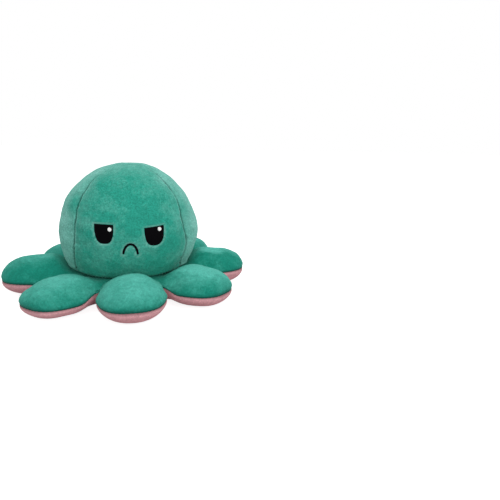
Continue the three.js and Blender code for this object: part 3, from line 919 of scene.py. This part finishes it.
def lockstitch(name, line, outwards, closed=False, sunk=0.0):
    """A line of sewing thread in the bottom of a seam's groove, six-sided and sunk by so many mm. It
    dips into the fabric between its stitches."""
    run = run_along(line)
    stitches = round(run[-1] / STITCH)
    share = np.linspace(0, 1, stitches * 6 + 1)
    line, out, sunk = (
        spread_along(values, run, share * run[-1])
        for values in (line, outwards, (sunk + 0 * run)[:, None])
    )
    along = np.gradient(line, axis=0)
    if closed:
        along[0] = along[-1] = along[0] + along[-1]
    aside = unit(np.cross(along, out))
    out = unit(np.cross(aside, along))
    dip = THREAD_RADIUS * np.cos(np.pi * stitches * share[:, None]) ** 6
    thick = np.full((len(share), 1, 1), THREAD_RADIUS)
    if not closed:
        thick[0] = thick[-1] = 0
    turn = rad(np.arange(0, 360, 60))[:, None]
    section = np.cos(turn) * aside[:, None] + np.sin(turn) * out[:, None]
    return tube(name, (line + (0.1 - dip - sunk) * out)[:, None] + thick * section)


def seams():
    """The thread in every seam: four on the head, the neck's, each tentacle's edge, four in the
    pocket and the pocket's mouth."""
    # The teal thread is dark, so it paints the grooves' shade as well as being thread
    teal = thread("Polyester_thread_teal", "teal_thread_and_shade")
    pink = thread("Polyester_thread_pink", "pink_thread")
    polar = np.linspace(5, 172, 400)
    sunk = 0.9 * (1 - smooth(polar, 20, 50))
    station = np.linspace(0.15, MOUTH_STATION, 200)
    for name, azimuth, pocket_azimuth in zip(GORES, seam_azimuths(polar), POCKET_SEAMS):
        line = head_place(polar, azimuth, head_rise(polar, azimuth)[0])
        out = swung(np.sin(rad(polar)), np.cos(rad(polar)), azimuth)
        dress(lockstitch("seam_thread_head_" + name, line, out, sunk=sunk), teal)
        depth = 1.0 + 0.8 * smooth(station, 0.1, 0.5)
        line = swung(*pocket_profile(station, depth), pocket_azimuth)
        out = line - swung(*pocket_profile(station, 3.0), pocket_azimuth)
        dress(lockstitch("seam_thread_lining_" + name, line, out), pink)
    for name, ring, side, cotton in (
        ("neck", teal_rosette(), 1, teal),
        ("mouth", pink_rosette(), -1, pink),
    ):
        loop, out = (np.concatenate([row, row[:1]]) for row in (ring[0], normals(ring, side)[0]))
        dress(lockstitch("seam_thread_" + name, loop, out, closed=True), cotton)
    for index, name in enumerate(TENTACLES):
        line = fan(teal_rosette(), index)[-1]
        out = np.cross(np.gradient(line, axis=0), (0, 0, 1))
        out = out * np.sign((out * (line - line.mean(axis=0))).sum())
        piece = lockstitch("seam_thread_tentacle_" + name, line, out)
        dress(piece, teal, body=None)
        bend(piece)


# Pocket

MOUTH_STATION = 2 + MOUTH_SEAM_ANGLE / 90
POCKET_SEAMS = (-47, 47, 135, 225)


def pocket_profile(station, depth):
    """Radius and height on the pocket's wall, that far behind it: stations 0 to 1 are the dome, 1 to
    2 the upright wall and 2 to 3 the lip that rolls out to the floor."""
    foot = POCKET_DEPTH - POCKET_RADIUS
    dome = rad(90 * np.clip(station, 0, 1))
    roll = rad(90 * np.clip(station - 2, 0, 1))
    inside = POCKET_RADIUS + depth
    lip = LIP_RADIUS - depth
    wall = mix(foot, LIP_MIDDLE, np.clip(station - 1, 0, 1))
    radius = np.where(
        station <= 2, inside * np.sin(dome), POCKET_RADIUS + LIP_RADIUS - lip * np.cos(roll)
    )
    below = np.where(station <= 2, wall, LIP_MIDDLE - lip * np.sin(roll))
    return radius, np.where(station <= 1, foot + inside * np.cos(dome), below)


def pocket_lining():
    """Four pink gores behind the pocket's wall. The fabric is that of a whole head gathered into
    less room, so it stands in soft upright pleats, fewer behind the face."""
    cloth = plush("Velboa_pink", "pink", "pink_pale_and_lit", 0.2)
    share = np.linspace(0, 1, 61)
    station = np.linspace(0, MOUTH_STATION, 90)[:, None]
    for index, name in enumerate(GORES):
        first, last = (*POCKET_SEAMS, POCKET_SEAMS[0] + 360)[index : index + 2]
        azimuth = mix(first, last, share - 0.5 * np.sin(2 * np.pi * share) / (2 * np.pi))
        off = np.minimum(azimuth - first, last - azimuth)
        gap = rad(off) * pocket_profile(station, 0)[0]
        calm = 0.25 if name == "front" else 1.0
        pleats = 0.7 * calm * np.sin(rad(azimuth) * 21 + 0.8 * np.sin(4 * station + index))
        pleats = pleats * smooth(station, 0.25, 0.8) * (1 - bell(gap, 3))
        sunk = 0.8 * np.exp(-gap / 0.9) * smooth(station, 0.1, 0.5)
        depth = np.clip(1.0 + pleats + sunk, 0.1, 2.2)
        # Painted shade along the pocket's seams
        groove = np.exp(-gap / 0.9) * smooth(station, 0.05, 0.4)
        inner = swung(*pocket_profile(station, depth), azimuth)
        outer = swung(*pocket_profile(station, depth + FABRIC * 0.8), azimuth)
        piece = shell("lining_gore_" + name, inner, outer, seam=0.6 * groove, nap=0.5 + 0 * groove)
        dress(piece, cloth, replaces=["lining_panel_" + name])


# Tentacles, each in its own frame: x aside towards the next tentacle, y out from the toy's axis

# Where the teal rosette begins at the neck seam, how far the edge seam climbs over the folds to a
# notch, and how high the pink fabric stands over the floor (mm)
NECK_RADIUS = 45.0
NOTCH_CLIMB = 3.5
NOTCH_HEIGHT = FOLD_HEIGHT + NOTCH_CLIMB
FLOOR_GAP = 0.12

# The teal fabric's top and the pink one's arch along a valley between two tentacles: where it starts
# and its height there, its rise out to the notch (mm) and the power of its curve
VALLEY_TOP = (41.6, 21.2, -3.4, 1.5)
VALLEY_ARCH = (42.5, 0.0, 11.5, 1.3)

# The fibre in a tentacle: the middle of its pillow, out from the axis and up (mm), and its size
# against that of the fabric round it
PILLOW_REACH, PILLOW_HEIGHT = 78, 13.5
PILLOW_SHARES = (0.9, 0.9, 0.8)


def tentacle_share(y):
    """How far out a tentacle's y lies from the notches (0) to the tip (1)."""
    return np.clip((y - NOTCH_Y) / (sizes("tip_reach") - NOTCH_Y), 0, 1)


def tentacle_width(y):
    """Half the width between two valleys, or beyond the notches that of the tentacle's body."""
    swell = (HALF_WIDTH - NOTCH_X) * smooth(tentacle_share(y), 0, 0.45)
    return np.where(y < NOTCH_Y, y * np.tan(rad(PITCH / 2)), NOTCH_X + swell)


@functools.cache
def tentacle_outline():
    """The edge seam of one tentacle from notch over tip to notch, at equal steps: x = w c^(2/n) and
    y = notch + l s^(2/n), with c and s the cosine and sine of a growing angle and w the body's
    width there. Returns points and outward normals."""
    turn = np.linspace(0, np.pi / 2, 4000)
    y = mix(NOTCH_Y, sizes("tip_reach"), np.sin(turn) ** (2 / TIP_POWER))
    x = tentacle_width(y) * np.cos(turn) ** (2 / TIP_POWER)
    line = np.concatenate([np.stack([-x, y], 1), np.stack([x, y], 1)[-2::-1]])
    run = run_along(line)
    points = spread_along(line, run, np.linspace(0, run[-1], TENTACLE_COLUMNS + 1))
    along = np.gradient(points, axis=0)
    out = unit(np.stack([-along[:, 1], along[:, 0]], 1))
    notch = np.stack(
        [np.sign(ACROSS) * np.sin(rad(PITCH / 2)), 0 * ACROSS + np.cos(rad(PITCH / 2))], 1
    )
    return points, unit(mix(out, notch, smooth(np.abs(ACROSS), 0.84, 1.0)[:, None]))


def valley(y, start, height, rise, power):
    """Height of a fabric along the valley between two tentacles: it rises by a power of the share of
    the way out to the notch."""
    return height + rise * np.clip((y - start) / (NOTCH_Y - start), 0, 1) ** power


def seam_height(y, lift):
    """Height of the edge seam: it climbs to the notches."""
    return FOLD_HEIGHT + lift * smooth(y, 66, 80) + NOTCH_CLIMB * (1 - smooth(y, NOTCH_Y, 76))


def settle(z, rows):
    """Smooths heights over a ring of columns by 14 rounds of means of the four neighbours, between
    its first rows and its last four."""
    z = z.copy()
    weight = np.ones_like(z)
    weight[:rows] = 0
    weight[-4:] = 0
    for _ in range(14):
        around = (np.roll(z, 1, 1) + np.roll(z, -1, 1)) / 2
        beside = z.copy()
        beside[1:-1] = (z[2:] + z[:-2]) / 2
        z = mix(z, (around + beside) / 2, 0.7 * weight)
    return z


def rosette_base(inner_radius):
    """Plan of one tentacle's part of a rosette: a fan of lines from a circle out to its edge seam.
    Rows crowd towards the seam. Returns x, y, the seam's outward normals, the share of the way out,
    the distance to the seam and how near to a notch each column is."""
    step = np.linspace(0, 1, TENTACLE_ROWS)[:, None]
    u = mix(step, np.sin(np.pi / 2 * step), 0.8)
    points, out = tentacle_outline()
    notch = smooth(np.abs(ACROSS), 0.8, 1.0)
    turn = rad(PITCH / 2 * ACROSS)
    start = inner_radius * np.stack([np.sin(turn), np.cos(turn)], 1)
    end = points - 0.5 * out * (1 - 0.75 * notch)[:, None]
    plan = start + (end - start) * u[..., None]
    away = (1 - u) * np.linalg.norm(end - start, axis=1)
    return plan[..., 0], plan[..., 1], out, u, away, notch


def fullness(x, y, u):
    """How full the pillow is over a point: 1 on the ridge and 0 on the valleys and the edge seam.
    One minus (x over half width)^n, less what the tip takes off. n falls from 2.8 at the root, which
    is flat on top, to 2."""
    share = (1 - tentacle_share(y) ** (TIP_POWER + 0.5)) ** (2 / (TIP_POWER + 0.5))
    full = share - np.abs(x / tentacle_width(y)) ** mix(2.8, 2.0, smooth(y, 62, 84))
    return np.clip(full - full[-1:] * u**6, 0, 1)


def rounded(away, reach):
    """0 on the seam, rising as a quarter circle to 1 that far from it."""
    return np.sqrt(1 - (1 - np.clip(away / reach, 0, 1)) ** 2)


def fan(ring, index):
    """One tentacle's columns of a ring."""
    return take(ring, index, TENTACLE_COLUMNS)


def swell_out(height):
    """How far the fabric stands out beside a seam at a height over it: 1 at 2.2 mm and less beyond."""
    return height / 2.2 * np.exp(1 - height / 2.2)


def placed(x, y, z, out, push, index):
    """A tentacle's points in the toy's frame, pushed out along the edge's normals, reaching and
    leaning as its own tentacle does."""
    reach, lean = list(TENTACLES.values())[index][:2]
    grow = smooth(y, NOTCH_Y, 100)
    x = x + out[:, 0] * push + lean * grow
    y = y + out[:, 1] * push + reach * grow
    turn = rad(index * PITCH)
    side, way = (np.cos(turn), np.sin(turn)), (np.sin(turn), -np.cos(turn))
    return np.stack([x * side[0] + y * way[0], x * side[1] + y * way[1], z], -1)


@functools.cache
def teal_rosette():
    """The upper fabric of all tentacles. Height is the valley's or the seam's, plus the ridge's rise
    over it times the fullness to a power: 1.7 in the web, where it meets the valley softly, and 0.5
    on the tentacle, where it is round. The ridge is a circle about the fold line."""
    grids = []
    for index, (_, _, high, lift, _) in enumerate(TENTACLES.values()):
        x, y, out, u, away, notch = rosette_base(NECK_RADIUS)
        tall = RIDGE_TOP + high * smooth(y, 48, 62) - FOLD_HEIGHT
        arc = np.sqrt(np.clip(tall**2 - np.clip(FOLD_REACH - y, 0, None) ** 2, 1, None))
        ridge = np.logaddexp((FOLD_HEIGHT + arc) / 0.5, 21.0 / 0.5) * 0.5
        seam = seam_height(y, lift)
        root = (valley(NOTCH_Y, *VALLEY_TOP) - NOTCH_HEIGHT) * (1 - smooth(y, NOTCH_Y, 70))
        edge = np.where(y < NOTCH_Y, valley(y, *VALLEY_TOP), seam + root)
        power = mix(1.7, 0.5, smooth(y, 50, 80))
        z = seam + (edge - seam) * rounded(away, 2.4) + (ridge - edge) * fullness(x, y, u) ** power
        z = np.where(u < 1, z, seam)
        push = sizes("edge_bulge") * swell_out(np.maximum(z - seam, 0)) * (1 - 0.75 * notch)
        grids.append(placed(x, y, z, out, push, index))
    ring = ring_of(grids)
    ring[..., 2] = settle(ring[..., 2], 3)
    step = np.linspace(0, 1, ring.shape[0])[:, None]
    free = smooth(step, 0, 0.12) * (1 - smooth(step, 0.8, 1.0))
    ring[..., 2] += (0.25 * lumps(ring, 19, 11) + 0.05 * lumps(ring, 3.4, 12)) * free
    return swollen(ring, 1, 4, 0.012)


def swollen(ring, side, held, growth):
    """A rosette moved as simulated cloth between its first rows and its edge seam."""
    pinned = np.zeros(ring.shape[:2])
    pinned[:held] = pinned[-2:] = 1
    out = normals(ring, side)
    return ring + out * swelling(ring, out, pinned, growth, 0.15, 1.3)[..., None]


@functools.cache
def pink_rosette():
    """The lower fabric of all tentacles, from the pocket's mouth over the lip to the edge seam. It
    is flat where it rests, arched in the valleys and round up to the seam."""
    grids = []
    roll = np.linspace(MOUTH_STATION, 3, LIP_ROWS + 1)[:-1, None]
    radius, height = pocket_profile(roll, 0)
    for index, (_, _, _, lift, _) in enumerate(TENTACLES.values()):
        x, y, out, u, away, notch = rosette_base(POCKET_RADIUS + LIP_RADIUS)
        seam = seam_height(y, lift)
        root = (NOTCH_HEIGHT - valley(NOTCH_Y, *VALLEY_ARCH)) * (1 - smooth(y, NOTCH_Y, 80))
        edge = np.where(y < NOTCH_Y, valley(y, *VALLEY_ARCH), seam - root)
        power = mix(1.2, 0.5, smooth(y, 52, 82))
        z = seam - (seam - edge) * rounded(away, 4.5) - (edge + 0.6) * fullness(x, y, u) ** power
        z = np.where(u < 1, z, seam)
        z = FLOOR_GAP + np.logaddexp(0, (z - FLOOR_GAP) / 0.4) * 0.4
        push = 0.7 * sizes("edge_bulge") * swell_out(np.maximum(seam - z, 0)) * (1 - 0.75 * notch)
        body = placed(x, y, z, out, push, index)
        azimuth = PITCH * (index + ACROSS / 2)
        lip = swung(radius, np.maximum(height, FLOOR_GAP) + 0 * azimuth, azimuth)
        grids.append(np.concatenate([lip, body]))
    ring = ring_of(grids)
    ring[..., 2] = np.maximum(settle(ring[..., 2], LIP_ROWS + 1), 0.1)
    ring = swollen(ring, -1, LIP_ROWS + 4, 0.008)
    ring[..., 2] = np.maximum(ring[..., 2], 0.1)
    return ring


def brushed(ring, out):
    """How far the pile is brushed up over a ring of columns with these normals, a value that also
    paints light, shade and sheen: each tentacle's own share, even with its neighbours' at the valleys,
    more on the very top as painted sheen, and less near the head and, as painted shade, where the
    fabric hangs over to the edge. On the tentacles beside the front one less where it faces the front,
    and on the right ones more where it faces the back, as painted sheen."""
    x, y = ring[..., 0], ring[..., 1]
    forward, upright = -out[..., 1], out[..., 2]
    own = np.array([lie for *_, lie in TENTACLES.values()])
    v = np.tile(ACROSS[:-1], len(own))
    here, last, after = (np.repeat(np.roll(own, by), TENTACLE_COLUMNS) for by in (0, 1, -1))
    share = mix(here, np.where(v < 0, last, after), 0.5 * smooth(np.abs(v), 0.6, 1.0))
    top = 0.6 * (1 - share) * smooth(upright, 0.9, 1.0)
    up = share * mix(0.15, 1, smooth(upright, 0.05, 0.9)) + top
    up = up * (1 - 0.6 * smooth(forward, 0.35, 0.8) * smooth(np.abs(x), 20, 40))
    up = up + 0.35 * (1 - smooth(forward, 0.1, 0.45)) * smooth(x, 20, 40)
    return up * smooth(np.hypot(x, y), 52, 70)


def tentacle_skins(level, prefix, ring, cloth, thickness):
    """Eight skins cut from a rosette along its valleys, each with a thickness that runs out at the
    edge seam. The seam value paints shade along that seam. The pink is pale along that seam, partly
    its pile's lie and partly painted light, and has painted shade where it turns under. The first skin
    also stands for the rosette's ring."""
    step = np.linspace(0, 1, ring.shape[0])[:, None]
    out = normals(ring, 1 if level == "top" else -1)
    inner = ring - out * (thickness * (1 - 0.7 * smooth(step, 0.93, 1.0)))[..., None]
    away = np.linalg.norm(ring - ring[-1:], axis=-1)
    # Painted shade along the edge seam
    seam = 0.8 * np.exp(-away / 0.6)
    if level == "top":
        # Pile lie together with painted light, shade and sheen
        nap = brushed(ring, out)
    else:
        # Pink paler along the edge seam, partly pile lie and partly painted light
        nap = 0.4 + 0.8 * bell(away, 3.5)
        # Painted shade where the pink turns under
        seam = np.maximum(seam, 0.07 * smooth(-out[..., 2], 0.4, 0.9))
    for index, name in enumerate(TENTACLES):
        skins = fan(ring, index), fan(inner, index)
        piece = shell(prefix + name, *skins, seam=fan(seam, index), nap=fan(nap, index))
        nodes = [f"tentacle_{level}_{name}"] + [f"tentacle_ring_{level}"] * (index == 0)
        dress(piece, cloth, body=None, replaces=nodes)
        bend(piece)


def tentacle_filling():
    """A pillow of fibre in each tentacle: its two skins drawn in towards its middle."""
    wool = fibre("Polyester_fibrefill", "filling")
    top, under = teal_rosette(), pink_rosette()[LIP_ROWS:]
    for index, name in enumerate(TENTACLES):
        middle = FOLDS[name] * (PILLOW_REACH / FOLD_REACH)
        middle[2] = PILLOW_HEIGHT
        skins = (fan(ring, index)[12:] for ring in (top, under))
        grids = [middle + (skin - middle) * PILLOW_SHARES for skin in skins]
        piece = shell("tentacle_fibre_" + name, *grids)
        nodes = ["tentacle_stuffing_" + name]
        dress(piece, wool, body=None, replaces=nodes)
        bend(piece)


# Profile of the head's fibre under the web, from the neck in to the lip: radius and height (mm), and
# how far behind the pocket's wall it lies
FIBRE_SKIRT = ((44, 20), (48, 18.3), (52, 16.2), (54, 13), (53.5, 9), (51, 5.5), (47, 3.4))
FIBRE_GAP = 4.2


def head_filling():
    """Fibre round the pocket, under the head's skin and down through the neck: a profile turned
    round the axis and made a little uneven."""
    wool = fibre("Polyester_fibrefill", "filling")
    azimuth = np.linspace(0, 360, 180, endpoint=False)
    polar = np.linspace(0, 170, 90)[:, None]
    skull = head_place(polar, azimuth, head_rise(polar, azimuth)[0] - FABRIC - 1.5)
    wall = np.stack(pocket_profile(np.linspace(3, 0, 50), FIBRE_GAP), 1)
    radius, height = np.concatenate([FIBRE_SKIRT, wall]).T[..., None]
    grid = np.concatenate([skull, swung(radius, height + 0 * azimuth, azimuth)])
    grid = grid + 0.3 * lumps(grid, 13, 21)[..., None] * normals(grid, 1)
    grid[0] = grid[0].mean(axis=0)
    grid[-1] = grid[-1].mean(axis=0)
    dress(
        tube("head_fibre", grid), wool, replaces=["head_stuffing"]
    )


# Stage

# Camera fitted to the photograph: place (mm), heading from +y towards +x, elevation and roll
CAMERA_PLACE = (-2.7, -403.5, 134.6)
CAMERA_HEADING, CAMERA_ELEVATION, CAMERA_ROLL = 15.85, -14.15, 1.61
CAMERA_LENS = 32.35

# The point that the lamps face (m)
LAMP_AIM = (0, 0, 0.05)

# The floor: its side and level (m), how much light it throws back and how bright it looks
FLOOR_SIDE, FLOOR_LEVEL = 8.0, -0.0004
FLOOR_ALBEDO, FLOOR_GLOW = 0.62, 0.88


def staged(name, data, right, up, back, place):
    """A camera or lamp at a place in metres, its x, y and z axes pointing right, up and back."""
    item = linked(name, data)
    pose = np.eye(4)
    pose[:3] = np.stack([right, up, back, place], 1)
    item.matrix_world = Matrix(pose.tolist())
    return item


def camera():
    """The photograph's camera, turned about its view by its roll."""
    heading, elevation, roll = rad((CAMERA_HEADING, CAMERA_ELEVATION, CAMERA_ROLL))
    level = np.cos(elevation)
    ahead = np.array([np.sin(heading) * level, np.cos(heading) * level, np.sin(elevation)])
    right = unit(np.cross(ahead, (0, 0, 1)))
    up = np.cross(right, ahead)
    rolled = right * np.cos(roll) + up * np.sin(roll)
    up = up * np.cos(roll) - right * np.sin(roll)
    data = bpy.data.cameras.new("photo_camera")
    data.lens, data.sensor_width, data.sensor_fit = CAMERA_LENS, 36, "HORIZONTAL"
    data.clip_start, data.clip_end = 0.01, 20
    place = np.array(CAMERA_PLACE) * MM
    bpy.context.scene.camera = staged("photo_camera", data, rolled, up, -ahead, place)


def lamp(name, place, watts):
    """A square softbox 0.8 m wide, aimed at the toy's middle."""
    data = bpy.data.lights.new(name, "AREA")
    data.size, data.energy = 0.8, watts
    back = unit(np.subtract(place, LAMP_AIM))
    right = unit(np.cross((0, 0, 1), back))
    staged(name, data, right, np.cross(back, right), back, place)


def seen_directly(tree):
    """1 for what the camera sees straight, in a mirror or through glass."""
    path = add(tree, "ShaderNodeLightPath")
    seen = path.outputs["Is Camera Ray"]
    for ray in ("Is Glossy Ray", "Is Transmission Ray"):
        links = {0: seen, 1: path.outputs[ray]}
        seen = add(tree, "ShaderNodeMath", {"operation": "MAXIMUM"}, links).outputs[0]
    return seen


def floor():
    """A white table: matt, and so bright to the camera that only the toy's shadow shows on it."""
    material, tree, output = new_material("Matt_white_table")
    white = rgba(tint("floor"))
    matt = add(tree, "ShaderNodeBsdfDiffuse", {"Color": rgba(tint("floor"), FLOOR_ALBEDO)})
    glow = add(tree, "ShaderNodeEmission", {"Color": white}, {"Strength": seen_directly(tree)})
    both = add(tree, "ShaderNodeAddShader", None, {0: matt.outputs[0], 1: glow.outputs[0]})
    parts = {1: matt.outputs[0], 2: both.outputs[0]}
    share = add(tree, "ShaderNodeMixShader", {0: FLOOR_GLOW}, parts)
    tree.links.new(share.outputs[0], output.inputs["Surface"])
    half = FLOOR_SIDE / 2
    corners = ((-half, -half), (half, -half), (half, half), (-half, half))
    mesh = bpy.data.meshes.new("floor")
    mesh.from_pydata([(x, y, FLOOR_LEVEL) for x, y in corners], [], [(0, 1, 2, 3)])
    mesh.materials.append(material)
    linked("floor", mesh)


def backdrop():
    """White all round for the camera, and a plain soft light from everywhere for the toy."""
    world = bpy.data.worlds.new("White_backdrop")
    bpy.context.scene.world = world
    world.use_nodes = True
    tree = world.node_tree
    tree.nodes.clear()
    soft = add(tree, "ShaderNodeBackground", {"Color": (1, 1, 1, 1), "Strength": 0.44})
    white = add(tree, "ShaderNodeBackground", {"Color": (1, 1, 1, 1), "Strength": 1.0})
    both = add(
        tree, "ShaderNodeMixShader", None,
        {0: seen_directly(tree), 1: soft.outputs[0], 2: white.outputs[0]},
    )
    add(tree, "ShaderNodeOutputWorld", None, {"Surface": both.outputs[0]})


# Operators

class Step(bpy.types.Operator):
    bl_options = {"REGISTER", "UNDO"}


class OCTOPUS_OT_stage(Step):
    """Sets the camera, the lamps, the floor and the white backdrop"""

    bl_idname = "octopus.stage"
    bl_label = "Stage"

    def execute(self, context):
        context.scene.view_settings.view_transform = "Standard"
        camera()
        lamp("softbox_above", (0.05, -0.15, 0.95), 3.6)
        lamp("softbox_front", (0.25, -0.95, 0.5), 4.1)
        floor()
        backdrop()
        return {"FINISHED"}


class OCTOPUS_OT_head(Step):
    """Sews the head's four gores"""

    bl_idname = "octopus.head"
    bl_label = "Head gores"

    def execute(self, context):
        head_gores()
        return {"FINISHED"}


class OCTOPUS_OT_face(Step):
    """Embroiders the frowning face"""

    bl_idname = "octopus.face"
    bl_label = "Frowning face"

    def execute(self, context):
        embroider("", EYES, GLINTS, "satin_mouth", MOUTH, over_head)
        return {"FINISHED"}


class OCTOPUS_OT_lining(Step):
    """Sews the pocket's lining with its smiling face"""

    bl_idname = "octopus.lining"
    bl_label = "Pocket lining"

    def execute(self, context):
        pocket_lining()
        eyes, glints = POCKET_EYES, POCKET_GLINTS
        embroider("lining_", eyes, glints, "satin_smile", SMILE, in_pocket)
        return {"FINISHED"}


class OCTOPUS_OT_tentacle_tops(Step):
    """Sews the teal upper side of the tentacles"""

    bl_idname = "octopus.tentacle_tops"
    bl_label = "Teal rosette"

    def execute(self, context):
        cloth = plush("Velboa_teal_tentacles", "teal_tentacle", "teal_ridge_and_sheen", 0.22, 0.55)
        tentacle_skins("top", "tentacle_skin_", teal_rosette(), cloth, 1.2)
        return {"FINISHED"}


class OCTOPUS_OT_tentacle_undersides(Step):
    """Sews the pink underside of the tentacles"""

    bl_idname = "octopus.tentacle_undersides"
    bl_label = "Pink rosette"

    def execute(self, context):
        cloth = plush("Velboa_pink", "pink", "pink_pale_and_lit", 0.2)
        tentacle_skins("under", "tentacle_sole_", pink_rosette(), cloth, 1.0)
        return {"FINISHED"}


class OCTOPUS_OT_filling(Step):
    """Stuffs the head and the tentacles"""

    bl_idname = "octopus.filling"
    bl_label = "Fibre filling"

    def execute(self, context):
        head_filling()
        tentacle_filling()
        return {"FINISHED"}


class OCTOPUS_OT_seams(Step):
    """Lays the sewing thread in the seams"""

    bl_idname = "octopus.seams"
    bl_label = "Sewing thread"

    def execute(self, context):
        seams()
        return {"FINISHED"}


STEPS = (
    OCTOPUS_OT_stage,
    OCTOPUS_OT_head,
    OCTOPUS_OT_face,
    OCTOPUS_OT_lining,
    OCTOPUS_OT_tentacle_tops,
    OCTOPUS_OT_tentacle_undersides,
    OCTOPUS_OT_filling,
    OCTOPUS_OT_seams,
)


class OCTOPUS_PT_panel(bpy.types.Panel):
    """Sizes, colours and steps of the octopus"""

    bl_idname = "OCTOPUS_PT_panel"
    bl_label = "Plush Octopus"
    bl_space_type = "VIEW_3D"
    bl_region_type = "UI"
    bl_category = "Octopus"

    def draw(self, context):
        for group in (context.scene.octopus_sizes, context.scene.octopus_colours):
            for key in group.__annotations__:
                self.layout.prop(group, key)
        for step in STEPS:
            self.layout.operator(step.bl_idname)


CLASSES = (OctopusSizes, OctopusColours, *STEPS, OCTOPUS_PT_panel)


def register():
    for cls in CLASSES:
        bpy.utils.register_class(cls)
    bpy.types.Scene.octopus_sizes = bpy.props.PointerProperty(type=OctopusSizes)
    bpy.types.Scene.octopus_colours = bpy.props.PointerProperty(type=OctopusColours)


def unregister():
    del bpy.types.Scene.octopus_sizes
    del bpy.types.Scene.octopus_colours
    for cls in reversed(CLASSES):
        bpy.utils.unregister_class(cls)


def main():
    register()
    for step in STEPS:
        group, name = step.bl_idname.split(".")
        getattr(getattr(bpy.ops, group), name)()


if __name__ == "__main__":
    main()
